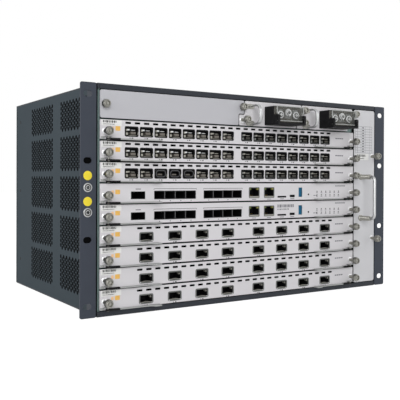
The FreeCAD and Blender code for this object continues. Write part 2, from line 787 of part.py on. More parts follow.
def control_parts(name, slot):
    """Cages and sockets on a control card's board."""
    sockets = control_sockets()
    deep = "sizes.cage_depth"
    left, width, height = sockets["uplink"]
    parts = [socket_shell(f"{name}_uplink", slot, left, width, height, deep)]
    for number in range(2):
        parts.append(socket_shell(f"{name}_bay_{number + 1}", slot, cell_bay(number),
                                  "sizes.cell_pitch", "sizes.cell_height", deep, CELLS))
    for jack in ("jack_1", "jack_2"):
        left, width, height = sockets[jack]
        parts.append(socket_shell(f"{name}_{jack}", slot, left, width, height, "sizes.jack_depth"))
    behind = f"{FRONT} + sizes.plate_thickness"
    bottom = f"{slot_floor(slot)} + {BOARD_TOP}"
    for socket in ("memory", "mini", "service"):
        left, width, height = sockets[socket]
        top = f"sizes.socket_sill + {height} - {BOARD_TOP}"
        parts.append(block(f"{name}_{socket}", left, behind, bottom, width, "sizes.jack_depth", top))
    switch_front = f"{behind} + sizes.seat_gap + sizes.button_length + sizes.button_travel + sizes.seat_gap"
    switch_width = "2 * sizes.jack_gap / 3"
    parts.append(block(f"{name}_switch", f"{pinhole_x()} - {switch_width} / 2", switch_front, bottom,
                       switch_width, switch_width, f"sizes.pinhole_height + sizes.cage_wall - {BOARD_TOP}"))
    return parts


def card_board(name, slot, kind):
    """Circuit board of a card with its cages and backplane connector."""
    floor = slot_floor(slot)
    behind = f"{FRONT} + sizes.plate_thickness"
    board = block(f"{name}_circuit", BOARD_LEFT, behind, f"{floor} + sizes.board_height",
                  f"{BOARD_RIGHT} - {BOARD_LEFT}", f"{BOARD_END} - sizes.plate_thickness",
                  "sizes.board_thickness")
    top = f"{floor} + {BOARD_TOP}"
    connector_front = f"{FRONT} + {HEADER_FRONT} - sizes.seat_gap - sizes.connector_depth"
    connector = block(f"{name}_connector", HEADER_LEFT, connector_front, top, "sizes.header_width",
                      "sizes.connector_depth", "sizes.header_height")
    if kind == "control":
        parts = control_parts(name, slot)
    else:
        parts = [module_cage(name, slot, kind, number) for number in range(2)]
    if kind == "narrow":
        parts += module_noses(name, slot, 0) + module_noses(name, slot, 1)
    group(f"{name}_board", [board, connector] + parts)


def reset_button(name, slot):
    """Plunger behind the reset pinhole."""
    start = f"{FRONT} + {BEHIND_PLATE} + sizes.button_length"
    button = prism(f"{name}_reset_button", PIN_SIDES, "sizes.button_diameter", "sizes.button_length",
                   pinhole_x(), start, f"{slot_floor(slot)} + sizes.pinhole_height", ALONG_FRONT)
    button.Label = f"{name}_reset_button"
    keep(button)


def ejector_lever(name, slot, side):
    """Flat lever that turns on its pin: an eye, a slim arm and a finger tab at the inner end."""
    word = "left" if side < 0 else "right"
    label = f"{name}_{word}_lever"
    body = new_body(label, lever_pivot(side), f"{FRONT} - {PIVOT_REACH}",
                    f"{slot_floor(slot)} + {LEVER_FLOOR}")
    eye = "sizes.lever_eye / 2"
    half_arm = "sizes.lever_arm / 2"
    inward = -side
    outline = sketch_on(body, f"{label}_outline", "XY_Plane")
    eye_corners = [(f"{inward} * {eye} * cos({a} deg)", f"{eye} * sin({a} deg)")
                   for a in EYE_CORNERS]
    tab_start = f"{inward} * (sizes.lever_length - sizes.lever_tab_length)"
    tab_root = f"{inward} * (sizes.lever_length - sizes.lever_tab_length - sizes.lever_arm)"
    tip = f"{inward} * sizes.lever_length"
    add_outline(outline, eye_corners + [
        (f"{inward} * {eye} * {NECK_OF_EYE}", f"-{half_arm}"),
        (tab_root, f"-{half_arm}"),
        (tab_start, "-sizes.lever_tab_reach"),
        (tip, "-sizes.lever_tab_reach"),
        (tip, half_arm),
    ])
    pad(body, outline, "sizes.lever_thickness")
    hole = sketch_on(body, f"{label}_hole", "XY_Plane")
    hole_radius = "(sizes.pivot_diameter / 2 + sizes.pivot_clearance)"
    add_outline(hole, round_hole("0", "0", hole_radius, PIN_SIDES))
    cut(body, hole, reverse=True)
    keep(body)


def power_right(number):
    """Upper right edge of a power module, counted from the left; 0 is the blank panel's edge."""
    return f"({CARD_RIGHT} - sizes.power_edge - {2 - number} * sizes.power_pitch)"


def stepped_plate(name, lower_left, upper_left, right):
    """Plate in the power row whose upper half stands one tab further right than its lower half."""
    body = new_body(name, "0", FRONT, POWER_FLOOR)
    gap = "sizes.plate_gap"
    lower_right = f"{right} - sizes.tab_width - {gap}"
    outline = sketch_on(body, f"{name}_outline", "XZ_Plane")
    corners = [
        (lower_left, PLATE_BOTTOM),
        (lower_right, PLATE_BOTTOM),
        (lower_right, "sizes.tab_split"),
        (f"{right} - {gap}", "sizes.tab_split"),
        (f"{right} - {gap}", POWER_TOP),
        (upper_left, POWER_TOP),
    ]
    if upper_left != lower_left:
        split = f"sizes.tab_split - {gap}"
        corners += [(upper_left, split), (lower_left, split)]
    add_outline(outline, corners)
    pad(body, outline, "sizes.plate_thickness", reverse=True)
    return body


def upper_tab_height():
    """Height of the screws in the upper tabs of the power row."""
    return f"{POWER_FLOOR} + (sizes.tab_split + {POWER_TOP}) / 2"


def upper_tab_screw(name, number, neck_length="sizes.neck_length"):
    """Thumbscrew in the tab at a plate's upper right corner."""
    return thumbscrew(name, f"{power_right(number)} - sizes.tab_width / 2", upper_tab_height(), neck_length)


def blank_panel():
    """Plain panel over the empty bay, with a short screw at the left and another in its tab."""
    plate = stepped_plate("blank_plate", CARD_LEFT, CARD_LEFT, power_right(0))
    left = thumbscrew("blank_left_screw", f"{CARD_LEFT} + sizes.screw_inset",
                      f"{POWER_FLOOR} + ({PLATE_BOTTOM} + {POWER_TOP}) / 2", "sizes.short_neck_length")
    right = upper_tab_screw("blank_right_screw", 0, "sizes.short_neck_length")
    group("blank_panel", [plate, left, right])


def bow_grip(name, x, z, width, height, reach, thickness, bend):
    """Bow handle standing on a front plate, with its two bends cut off at 45 degrees."""
    body = new_body(name, x, FRONT, z)
    inner_bend = f"({bend} - {MITRE} * {thickness})"
    far = f"-{reach}"
    near_far = f"(-{reach} + {thickness})"
    bow = sketch_on(body, f"{name}_bow", "YZ_Plane")
    add_outline(bow, [
        ("0", "0"),
        (f"{far} + {bend}", "0"),
        (far, bend),
        (far, f"{height} - {bend}"),
        (f"{far} + {bend}", height),
        ("0", height),
        ("0", f"{height} - {thickness}"),
        (f"{near_far} + {inner_bend}", f"{height} - {thickness}"),
        (near_far, f"{height} - {thickness} - {inner_bend}"),
        (near_far, f"{thickness} + {inner_bend}"),
        (f"{near_far} + {inner_bend}", thickness),
        ("0", thickness),
    ])
    pad(body, bow, width)
    return body


def module_left(number):
    """Lower left edge of a power module."""
    return f"({power_right(number - 1)} - sizes.tab_width)"


def power_module(number):
    """Power module: stepped plate, grip, two thumbscrews, and a tray with a filter behind."""
    name = f"power_module_{number}"
    left = module_left(number)
    plate = stepped_plate(f"{name}_plate", left, power_right(number - 1), power_right(number))
    low_screw = thumbscrew(f"{name}_low_screw", f"{left} + sizes.tab_width / 2",
                           f"{POWER_FLOOR} + sizes.tab_split / 2")
    high_screw = upper_tab_screw(f"{name}_high_screw", number)
    grip = bow_grip(f"{name}_grip", f"{left} + sizes.grip_offset - sizes.grip_width / 2",
                    f"{POWER_FLOOR} + sizes.grip_base", "sizes.grip_width", "sizes.grip_height",
                    "sizes.grip_reach", "sizes.grip_thickness", "sizes.grip_bend")
    tray_left = f"({left} + sizes.tray_margin)"
    tray_right = f"({left} + sizes.power_pitch - sizes.tray_margin)"
    wall = "sizes.cage_sheet"
    floor = f"({wall} / 2 + sizes.seat_gap)"
    top = f"({POWER_TOP} - sizes.seat_gap - {wall})"
    tray = new_body(f"{name}_tray", "0", FRONT, POWER_FLOOR)
    channel = sketch_on(tray, f"{name}_channel", "XZ_Plane", "-sizes.plate_thickness")
    add_outline(channel, [
        (tray_left, floor),
        (tray_right, floor),
        (tray_right, top),
        (f"{tray_right} - {wall}", top),
        (f"{tray_right} - {wall}", f"{floor} + {wall}"),
        (f"{tray_left} + {wall}", f"{floor} + {wall}"),
        (f"{tray_left} + {wall}", top),
        (tray_left, top),
    ])
    pad(tray, channel, "sizes.tray_length", reverse=True)
    filter_left = f"{tray_left} + sizes.tray_margin"
    line_filter = block(f"{name}_filter", filter_left, f"{FRONT} + sizes.tray_length / 4",
                        f"{POWER_FLOOR} + {floor} + {wall}",
                        f"{tray_right} - sizes.tray_margin - ({filter_left})", "sizes.filter_length",
                        f"{top} - {floor} - 3 * {wall}")
    group(name, [plate, low_screw, high_screw, grip, tray, line_filter])


def terminal_block(number):
    """Moulded block with three screw wells, and two cheeks that carry the clear cover's hinge."""
    name = f"power_terminal_block_{number}"
    left = f"({module_left(number)} + sizes.block_offset)"
    body = new_body(f"{name}_moulding", left, FRONT, f"{POWER_FLOOR} + sizes.block_base")
    base = sketch_on(body, f"{name}_base", "XZ_Plane")
    add_outline(base, rectangle("0", "0", "sizes.block_width", "sizes.block_height"))
    pad(body, base, "sizes.block_depth")
    cheeks = sketch_on(body, f"{name}_cheeks", "XZ_Plane", "sizes.block_depth")
    far_cheek = "sizes.block_width - sizes.cheek_width"
    add_outline(cheeks, [
        ("0", "0"),
        ("sizes.block_width", "0"),
        ("sizes.block_width", "sizes.cheek_height"),
        (far_cheek, "sizes.cheek_height"),
        (far_cheek, "sizes.lip_height"),
        ("sizes.cheek_width", "sizes.lip_height"),
        ("sizes.cheek_width", "sizes.cheek_height"),
        ("0", "sizes.cheek_height"),
    ])
    pad(body, cheeks, "sizes.cheek_depth - sizes.block_depth")
    wells = sketch_on(body, f"{name}_well", "XZ_Plane", "sizes.block_depth")
    first = f"(sizes.block_width / 2 - {TERMINALS // 2} * sizes.terminal_pitch)"
    well_left = f"{first} - sizes.well_width / 2"
    well_middle = "(sizes.block_height / 2 + sizes.lip_height)"
    add_outline(wells, rectangle(well_left, f"{well_middle} - sizes.well_height / 2",
                                 f"{well_left} + sizes.well_width",
                                 f"{well_middle} + sizes.well_height / 2"))
    row(body, cut(body, wells, "sizes.well_depth"), "X_Axis", "sizes.terminal_pitch", TERMINALS)
    hinge = sketch_on(body, f"{name}_hinge", "YZ_Plane")
    add_outline(hinge, round_hole("-sizes.hinge_reach", "sizes.hinge_height",
                                  "(sizes.hinge_diameter / 2)", PIN_SIDES))
    cut(body, hinge, reverse=True)
    screws = []
    for terminal in range(TERMINALS):
        x = f"{left} + {first} + {terminal} * sizes.terminal_pitch"
        y = f"{FRONT} - sizes.block_depth + sizes.well_depth"
        z = f"{POWER_FLOOR} + sizes.block_base + {well_middle}"
        screws.append(prism(f"{name}_screw_{terminal + 1}", PIN_SIDES, "sizes.terminal_diameter",
                            "sizes.terminal_height", x, y, z, ALONG_FRONT))
    group(name, [body] + screws)


def terminal_cover(number):
    """Clear cover over the screw terminals: a flap and its top return, with two hinge pegs."""
    label = f"power_terminal_cover_{number}"
    left = f"({module_left(number)} + sizes.block_offset + sizes.cheek_width + sizes.seat_gap)"
    width = "(sizes.block_width - 2 * sizes.cheek_width - 2 * sizes.seat_gap)"
    body = new_body(label, left, f"{FRONT} - sizes.hinge_reach",
                    f"{POWER_FLOOR} + sizes.block_base + sizes.hinge_height")
    half = "sizes.cover_thickness / 2"
    top = "(sizes.block_height - sizes.hinge_height)"
    back = "(sizes.hinge_reach - sizes.block_depth - sizes.seat_gap)"
    flap = sketch_on(body, f"{label}_flap", "YZ_Plane")
    add_outline(flap, [
        (f"-{half}", f"-{half}"),
        (half, f"-{half}"),
        (half, f"{top} - sizes.cover_thickness"),
        (back, f"{top} - sizes.cover_thickness"),
        (back, top),
        (f"-{half}", top),
    ])
    pad(body, flap, width)
    pegs = sketch_on(body, f"{label}_pegs", "YZ_Plane", "-sizes.cheek_width")
    peg_radius = "(sizes.hinge_diameter / 2 - sizes.seat_gap)"
    add_outline(pegs, polygon("0", "0", peg_radius, PIN_SIDES))
    pad(body, pegs, f"{width} + 2 * sizes.cheek_width")
    keep(body)


def fan_places():
    """Middle of each fan, from front to back and from low to high: depth and height."""
    low = "(sizes.rail_height + 2 * sizes.fan_shelf + sizes.fan_size / 2)"
    step = "(sizes.fan_size + sizes.fan_shelf)"
    near = "(sizes.fan_start + sizes.fan_size / 2)"
    return [(f"({near} + {column} * {step})", f"({low} + {level} * {step})")
            for level in range(2) for column in range(2)]


FAN_FACE = f"({FAN_LEFT} + sizes.fan_offset)"


def fan_housing(number, depth, height):
    """Square fan frame with a round duct, a motor strut across it and a spindle."""
    name = f"fan_housing_{number}"
    body = new_body(name, FAN_FACE, f"{FRONT} + {depth}", height)
    half = "sizes.fan_size / 2"
    frame = sketch_on(body, f"{name}_frame", "YZ_Plane")
    add_outline(frame, rectangle(f"-{half}", f"-{half}", half, half))
    add_outline(frame, round_hole("0", "0", "sizes.fan_bore / 2", BORE_SIDES))
    pad(body, frame, "sizes.fan_thickness")
    strut_side = "sizes.fan_thickness - sizes.strut_thickness"
    struts = sketch_on(body, f"{name}_struts", "YZ_Plane", strut_side)
    arm = "sizes.strut_width / 2"
    add_outline(struts, rectangle(f"-{arm}", f"-{half}", arm, half))
    pad(body, struts, "sizes.strut_thickness")
    spindle_end = "(sizes.hub_start + sizes.hub_floor + sizes.spindle_clearance)"
    spindle = sketch_on(body, f"{name}_spindle", "YZ_Plane", spindle_end)
    add_outline(spindle, polygon("0", "0", "sizes.spindle_diameter / 2", PIN_SIDES))
    pad(body, spindle, f"{strut_side} - {spindle_end}")
    return body


def fan_rotor(number, depth, height):
    """Fan wheel: a cup hub that turns on the spindle, with slanted blades round it."""
    label = f"fan_rotor_{number}"
    body = new_body(label, FAN_FACE, f"{FRONT} + {depth}", height, ALONG_X)
    hub = sketch_on(body, f"{label}_hub", "XY_Plane", "sizes.hub_start")
    hub_end = "sizes.fan_thickness - sizes.strut_thickness - sizes.spindle_clearance"
    add_outline(hub, polygon("0", "0", "sizes.hub_diameter / 2", HUB_SIDES))
    pad(body, hub, f"{hub_end} - sizes.hub_start")
    root = f"sizes.hub_diameter / 2 * {BLADE_ROOT}"
    blade = sketch_on(body, f"{label}_blade", "XZ_Plane", root)
    middle = f"(sizes.hub_start + {hub_end}) / 2"
    half_chord = "sizes.blade_chord / 2"
    half_rise = "sizes.blade_rise / 2"
    thickness = "sizes.blade_thickness"
    add_outline(blade, [
        (f"-{half_chord}", f"{middle} - {half_rise}"),
        (f"-{half_chord} + {thickness}", f"{middle} - {half_rise}"),
        (half_chord, f"{middle} + {half_rise}"),
        (f"{half_chord} - {thickness}", f"{middle} + {half_rise}"),
    ])
    blade_pad = pad(body, blade, f"sizes.blade_reach - {root}")
    blades = body.newObject("PartDesign::PolarPattern", f"{label}_blades")
    blades.Originals = [blade_pad]
    blades.Axis = (origin_feature(body, "Z_Axis"), [""])
    blades.Angle = 360
    blades.Occurrences = BLADES
    body.Tip = blades
    bore = sketch_on(body, f"{label}_bore", "XY_Plane", hub_end)
    bore_radius = "(sizes.spindle_diameter / 2 + sizes.spindle_clearance)"
    add_outline(bore, round_hole("0", "0", bore_radius, PIN_SIDES))
    cut(body, bore, f"{hub_end} - sizes.hub_start - sizes.hub_floor")
    keep(body)


def fan_tray():
    """Pull-out fan tray: front plate with grip and thumbscrews, three shelves and four fans."""
    plate = new_body("fan_plate", "0", FRONT)
    outline = sketch_on(plate, "fan_plate_outline", "XZ_Plane")
    bottom = f"(sizes.rail_height + {PLATE_BOTTOM})"
    top = f"({HEIGHT} - sizes.rail_height - {PLATE_BOTTOM})"
    corner = "sizes.fan_corner"
    add_outline(outline, [
        (f"{FAN_LEFT} + {corner}", bottom), (f"{FAN_RIGHT} - {corner}", bottom),
        (FAN_RIGHT, f"{bottom} + {corner}"), (FAN_RIGHT, f"{top} - {corner}"),
        (f"{FAN_RIGHT} - {corner}", top), (f"{FAN_LEFT} + {corner}", top),
        (FAN_LEFT, f"{top} - {corner}"), (FAN_LEFT, f"{bottom} + {corner}"),
    ])
    pad(plate, outline, "sizes.plate_thickness", reverse=True)
    grip = bow_grip("fan_grip", f"{FAN_LEFT} + sizes.fan_grip_offset",
                    "sizes.fan_grip_height - sizes.fan_grip_span / 2", "sizes.fan_grip_thickness",
                    "sizes.fan_grip_span", "sizes.fan_grip_reach", "sizes.fan_grip_thickness",
                    "sizes.fan_grip_bend")
    pieces = [plate, grip]
    for sign, word in ((-1, "low"), (1, "high")):
        height = f"sizes.fan_grip_height + {sign} * sizes.fan_screw_spacing / 2"
        pieces.append(thumbscrew(f"fan_{word}_screw", f"{FAN_RIGHT} - sizes.screw_inset", height))
    shelf_length = "(sizes.fan_start + 2 * sizes.fan_size + sizes.fan_shelf - sizes.plate_thickness)"
    for level in range(3):
        shelf_floor = f"sizes.rail_height + sizes.fan_shelf + {level} * (sizes.fan_size + sizes.fan_shelf)"
        pieces.append(block(f"fan_shelf_{level + 1}", FAN_FACE, f"{FRONT} + sizes.plate_thickness",
                            shelf_floor, "sizes.fan_thickness", shelf_length, "sizes.fan_shelf"))
    for number, (depth, height) in enumerate(fan_places(), start=1):
        pieces.append(fan_housing(number, depth, height))
    group("fan_tray", pieces)


def rear_panel():
    """Plain rear sheet between the side panels."""
    inner = f"({HALF_BODY} - sizes.sheet_thickness)"
    keep(block("rear_panel", f"-{inner}", f"-{FRONT} - sizes.sheet_thickness", "sizes.sheet_thickness",
               f"2 * {inner}", "sizes.sheet_thickness", f"{HEIGHT} - 2 * sizes.sheet_thickness"))


def build():
    """All the pieces, from the chassis to the cards, the power row and the fans."""
    side_panel("left_side_panel", f"-{HALF_BODY}")
    side_panel("right_side_panel", f"{HALF_BODY} - sizes.sheet_thickness")
    drop = "sizes.rail_height - sizes.sheet_thickness"
    cover_sheet("top_cover", f"{HEIGHT} - sizes.sheet_thickness", f"-({drop})", "sizes.sheet_thickness")
    cover_sheet("bottom_plate", "0", "0", "sizes.rail_height")
    rear_panel()
    add_socket_holes(mounting_ear("left_mounting_ear", -1))
    mounting_ear("right_mounting_ear", 1)
    earth_sockets()
    card_cage()
    backplane()
    for slot, (name, kind) in enumerate(CARDS):
        card_faceplate(name, slot, kind)
        card_board(name, slot, kind)
        ejector_lever(name, slot, -1)
        ejector_lever(name, slot, 1)
        if kind == "control":
            reset_button(name, slot)
    blank_panel()
    for number in (1, 2):
        power_module(number)
        terminal_block(number)
        terminal_cover(number)
    fan_tray()
    for number, (depth, height) in enumerate(fan_places(), start=1):
        fan_rotor(number, depth, height)


def check():
    """Stop on any object that failed, any pocket that removed nothing and any bad shape."""
    for item in doc.Objects:
        if "Invalid" in item.State or "Error" in item.State:
            raise RuntimeError(f"{item.Label} failed: {item.State}")
        if item.isDerivedFrom("PartDesign::Pocket"):
            if item.Shape.Volume >= item.BaseFeature.Shape.Volume:
                raise RuntimeError(f"{item.Label} cuts nothing")
    for item in nodes:
        if item.Shape.isNull() or not item.Shape.isValid() or not item.Shape.Solids:
            raise RuntimeError(f"{item.Label} has no valid shape")


build()
doc.recompute()
check()
os.makedirs("parts", exist_ok=True)
for item in nodes:
    item.Shape.exportStep(f"parts/{item.Label}.step")
print(f"{len(nodes)} pieces written")
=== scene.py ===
import math

import bmesh
import bpy
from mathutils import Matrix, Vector
from mathutils.geometry import tessellate_polygon


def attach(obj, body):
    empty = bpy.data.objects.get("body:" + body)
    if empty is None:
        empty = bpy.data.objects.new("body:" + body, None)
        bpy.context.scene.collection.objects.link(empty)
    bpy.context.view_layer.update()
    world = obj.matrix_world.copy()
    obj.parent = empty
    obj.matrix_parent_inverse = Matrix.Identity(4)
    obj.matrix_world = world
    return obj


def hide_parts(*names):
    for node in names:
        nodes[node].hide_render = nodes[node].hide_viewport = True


# Looks of an optical line terminal. Shapes are written in millimetres in the frame of the solids:
# +X to the right seen from the front, +Y to the back, +Z up, origin under the middle of the body.
# A box in the plane of a front is given as left, low, right, high.

MM = 0.001
FRONT = -149.0
BACK = 149.0
HEIGHT = 263.9
HALF_BODY = 221.0
RACK_HALF = 241.3
EAR_MIDDLE = 232.55
EARTH_HEIGHTS = (118.3, 146.2)
DISC_HEIGHTS = (130.6, 159.6)
RAIL = 6.2
PITCH = 24.2
CARD_LEFT = -217.5
CARD_RIGHT = 177.4
PLATE = 2.5
PLATE_LOW = 1.0
PLATE_HIGH = 23.4
NOTCH = 2.6
SLOT_LOW = 0.35
SLOT_HIGH = 23.85
SHEET = 1.5
EDGE = 0.25
SHARP_ANGLE = math.radians(40)
# Depth that the black blocks of painted shade reach behind a front.
SHADE_BACK = 2.4
SCREW_INSET = 5.7
SCREW_HEIGHT = 10.2
NECK_LENGTH = 9.0
SHORT_NECK = 1.0
LEVER_INSET = 8.7
PIN_Y = FRONT - 3.25
BOARD_TOP = 3.2
POWER_FLOOR = 224.0
FAN_LEFT = 178.0
FAN_RIGHT = 220.5
FAN_DEPTH = 25.4
FAN_STEP = 119.2
FAN_CENTRES = [(y, z) for z in (67.6, 186.8) for y in (-80.0, 39.2)]

CARDS = [(f"wide_port_card_{n}", "wide") for n in (1, 2, 3, 4)]
CARDS += [(f"{word}_control_card", "control") for word in ("lower", "upper")]
FIRST_NARROW = len(CARDS)
CARDS += [(f"narrow_port_card_{n}", "narrow") for n in (1, 2, 3)]

# Ports of the line cards and openings of the control cards, heights counted from the slot's floor.
PORT_PITCH = 19.4
GROUP_STEP = 165.1
CAGE_DEPTH = 48.0
PORTS = {
    "narrow": {"first": -186.6, "step": PORT_PITCH, "count": 8, "width": 16.0, "low": 5.6, "high": 16.7},
    "wide": {"first": -167.4, "step": 2 * PORT_PITCH, "count": 4, "width": 17.5, "low": 3.9, "high": 14.7},
}
PORT_MARKS = {"narrow": 2.9, "wide": 1.3}
DASH_ROWS = {"narrow": (-182.6, 27, 20.7), "wide": (-167.0, 26, 19.6)}
DASH_STEP = 12.0
SOCKET_LOW = 4.6
CELL_HIGH = 14.8
JACK_HIGH = 18.1
CELL = 14.6
CELLS = 4
JACK_WIDTH = 16.5
UPLINK = (-179.4, SOCKET_LOW, -159.5, CELL_HIGH)
BAYS = [(left, SOCKET_LOW, left + CELLS * CELL, CELL_HIGH) for left in (-148.3, -78.7)]
JACKS = [(left, SOCKET_LOW, left + JACK_WIDTH, JACK_HIGH) for left in (-9.1, 15.5)]
MEMORY = (38.2, SOCKET_LOW - 0.2, 53.1, 6.6)
MINI = (59.3, SOCKET_LOW, 68.1, 8.0)
SERVICE = (74.3, SOCKET_LOW, 81.3, JACK_HIGH)
PINHOLE = (92.5, 8.2)

# Profiles of round pieces: pairs of radius and height over the plane they stand on.
COLLAR = [(0.5, -0.4), (3.7, -0.4), (3.7, 0.5), (3.3, 0.8), (0.5, 0.85)]
KNOB = [(0.5, 0.2), (4.2, 0.2), (4.95, 0.8), (4.95, 4.9), (4.5, 5.4), (4.1, 5.5), (4.1, 6.5), (3.7, 7.0),
        (2.9, 7.0), (2.6, 6.6), (2.5, 5.2), (1.5, 5.1), (1.4, 6.2), (0.3, 6.3)]
LENS = [(0.2, -1), (0.9, -1), (0.9, 0.15), (0.6, 0.3), (0.1, 0.35)]
BORE = [(1.25, -0.1), (1.1, -0.1), (1.1, -2.5), (1.25, -2.5), (1.25, -0.1)]
LEVER_PIN = [(0.3, 0), (2.0, 0), (2.0, -0.35), (1.2, -0.4), (1.2, -4.2), (2.0, -4.25), (2.0, -4.55),
             (0.3, -4.55)]
SUNK_HEAD = [(0.3, -0.2), (2.2, -0.2), (2.2, 0.0), (0.9, 0.1), (0.6, -0.3), (0.1, -0.4)]
COVER_HEAD = [(0.3, -0.3), (2.4, -0.3), (2.4, 0.0), (1.2, 0.0), (0.9, -0.2), (0.1, -0.2)]
EAR_HEAD = [(0.3, 1.4), (3.0, 1.4), (3.0, 2.2), (2.2, 2.8), (1.0, 2.9), (0.7, 2.3), (0.1, 2.2)]
EARTH_SOCKET = [(2.0, -8.8), (4.0, -8.8), (4.0, -0.1), (5.2, 0), (5.2, 0.8), (4.8, 1.2), (4.0, 1.2),
                (3.7, 0.3), (2.9, 0.3), (2.7, 1.1), (2.0, 1.15), (2.0, -8.7)]
EARTH_GROOVE = [(2.85, 0.2), (3.75, 0.2), (3.75, 0.5), (2.85, 0.5), (2.85, 0.2)]
DISC = [(0.5, -0.05), (5.15, -0.05), (5.15, 0.12), (5.0, 0.16), (0.5, 0.16)]
HINGE_PEG = [(0.2, -0.1), (0.95, -0.1), (0.95, 2.8), (0.2, 2.9)]
WASHER = [(3.4, -0.2), (5.0, -0.2), (5.0, 1.6), (4.6, 2.0), (3.8, 2.0), (3.4, 1.4), (3.4, -0.2)]
TERMINAL_HEAD = [(0.4, 0.4), (3.3, 0.4), (3.3, 2.2), (2.7, 2.8), (0.3, 2.9)]
NUT = [(0.4, 0.4), (4.6, 0.4), (4.6, 2.8), (4.0, 3.4), (3.2, 3.4), (3.0, 2.9), (0.4, 2.8)]
STUD = [(0.4, 2.4), (1.9, 2.4), (1.9, 3.8), (1.5, 4.1), (0.2, 4.1)]
FOOT_RIVET = [(0.3, 0.7), (1.9, 0.7), (1.9, 1.3), (1.2, 1.7), (0.2, 1.8)]
FAN_HUB = [(1, -25.3), (19, -25.3), (19, -22), (6, -21.6), (6, -6.4), (1, -6.2)]

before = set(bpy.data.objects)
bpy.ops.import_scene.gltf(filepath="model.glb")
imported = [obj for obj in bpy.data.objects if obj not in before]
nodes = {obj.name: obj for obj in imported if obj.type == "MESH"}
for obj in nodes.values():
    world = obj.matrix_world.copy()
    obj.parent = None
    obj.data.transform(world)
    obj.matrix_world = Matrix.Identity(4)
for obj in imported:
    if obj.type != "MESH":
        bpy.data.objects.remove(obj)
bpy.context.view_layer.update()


def srgb(red, green, blue):
    """Linear colour of a screen colour given in 0 to 255."""
    shares = [value / 255 for value in (red, green, blue)]
    return [s / 12.92 if s <= 0.04045 else ((s + 0.055) / 1.055) ** 2.4 for s in shares]


def node(tree, kind, **values):
    """New shader node with values on its inputs; an underscore stands for a space in an input's name."""
    made = tree.nodes.new("ShaderNode" + kind)
    for word, value in values.items():
        made.inputs[word.replace("_", " ")].default_value = value
    return made


def look(name, colour, rough, metal=0.0, mottle=0.05, patch=18.0, grain=0.12, fine=2200.0,
         stretch=(1, 1, 1), coat=0.0, shine=0.5):
    """Procedural finish: colour that varies in soft patches, and a fine grain in bump and roughness."""
    gloss_spread, grain_depth = 0.08, 0.0002
    made = bpy.data.materials.new(name)
    made.use_nodes = True
    tree = made.node_tree
    shader = tree.nodes["Principled BSDF"]
    place = node(tree, "TexCoord")
    scale = node(tree, "Mapping", Scale=stretch)
    patches = node(tree, "TexNoise", Scale=patch, Detail=5)
    grains = node(tree, "TexNoise", Scale=fine, Detail=2)
    shade = node(tree, "Mix")
    shade.data_type = "RGBA"
    for socket, change in ((6, -mottle), (7, mottle)):
        shade.inputs[socket].default_value = [min(1, c * (1 + change)) for c in srgb(*colour)] + [1]
    smoothest, roughest = max(0.02, rough - gloss_spread), min(1, rough + gloss_spread)
    gloss = node(tree, "MapRange", To_Min=smoothest, To_Max=roughest)
    bump = node(tree, "Bump", Strength=grain, Distance=grain_depth)
    tree.links.new(place.outputs["Object"], scale.inputs["Vector"])
    for noise in (patches, grains):
        tree.links.new(scale.outputs["Vector"], noise.inputs["Vector"])
    tree.links.new(patches.outputs["Fac"], shade.inputs[0])
    tree.links.new(shade.outputs[2], shader.inputs["Base Color"])
    tree.links.new(grains.outputs["Fac"], gloss.inputs["Value"])
    tree.links.new(gloss.outputs["Result"], shader.inputs["Roughness"])
    tree.links.new(grains.outputs["Fac"], bump.inputs["Height"])
    tree.links.new(bump.outputs["Normal"], shader.inputs["Normal"])
    shader.inputs["Metallic"].default_value = metal
    shader.inputs["Coat Weight"].default_value = coat
    shader.inputs["Specular IOR Level"].default_value = shine
    return made


def plate_look(name, colour, rough, grain=0.12):
    """Pale paint of a front plate."""
    return look(name, colour, rough, grain=grain, fine=1800, mottle=0.02, patch=9, shine=0.3)


def ink_look(name, colour):
    """Matt printing ink."""
    return look(name, colour, 0.6, grain=0.05, mottle=0.1, patch=300, shine=0.2)


def lens_look(name, colour, rough):
    """Unlit lens with a glossy coat."""
    return look(name, colour, rough, grain=0.05, mottle=0.1, coat=0.4)


def clear_look(name, colour, share):
    """Clear moulded plastic: a thin veil with a glossy surface."""
    made = look(name, colour, 0.3, grain=0.0, fine=120, mottle=0.03, shine=0.1)
    made.node_tree.nodes["Principled BSDF"].inputs["Alpha"].default_value = share
    return made


SLATE = look("slate_paint", (59, 64, 74), 0.5, grain=0.25, fine=1500, mottle=0.06, shine=0.2)
# Slate of the side panels, lighter than SLATE to make up for the light the sides get: painted light.
SIDE_SLATE_LIT = look("side_slate_painted_light", (74, 83, 89), 0.75, grain=0.3, fine=1500, mottle=0.06, shine=0.06)
RAIL_PAINT = look("rail_paint", (40, 44, 51), 0.45, grain=0.2, fine=1500, shine=0.25)
PALE = plate_look("pale_paint", (217, 215, 218), 0.42, 0.1)
DULL = plate_look("dull_paint", (189, 189, 194), 0.45)
FAN_PAINT = plate_look("fan_paint", (211, 211, 214), 0.45)
NICKEL = look("nickel", (142, 141, 135), 0.34, metal=1, grain=0.06, fine=900, mottle=0.08, patch=60)
STEEL = look("bright_steel", (206, 207, 208), 0.3, metal=1, grain=0.1, fine=700, stretch=(0.08, 1, 1))
BRIGHT = look("satin_steel", (176, 177, 178), 0.36, metal=1, grain=0.1, fine=700, mottle=0.06, patch=40)
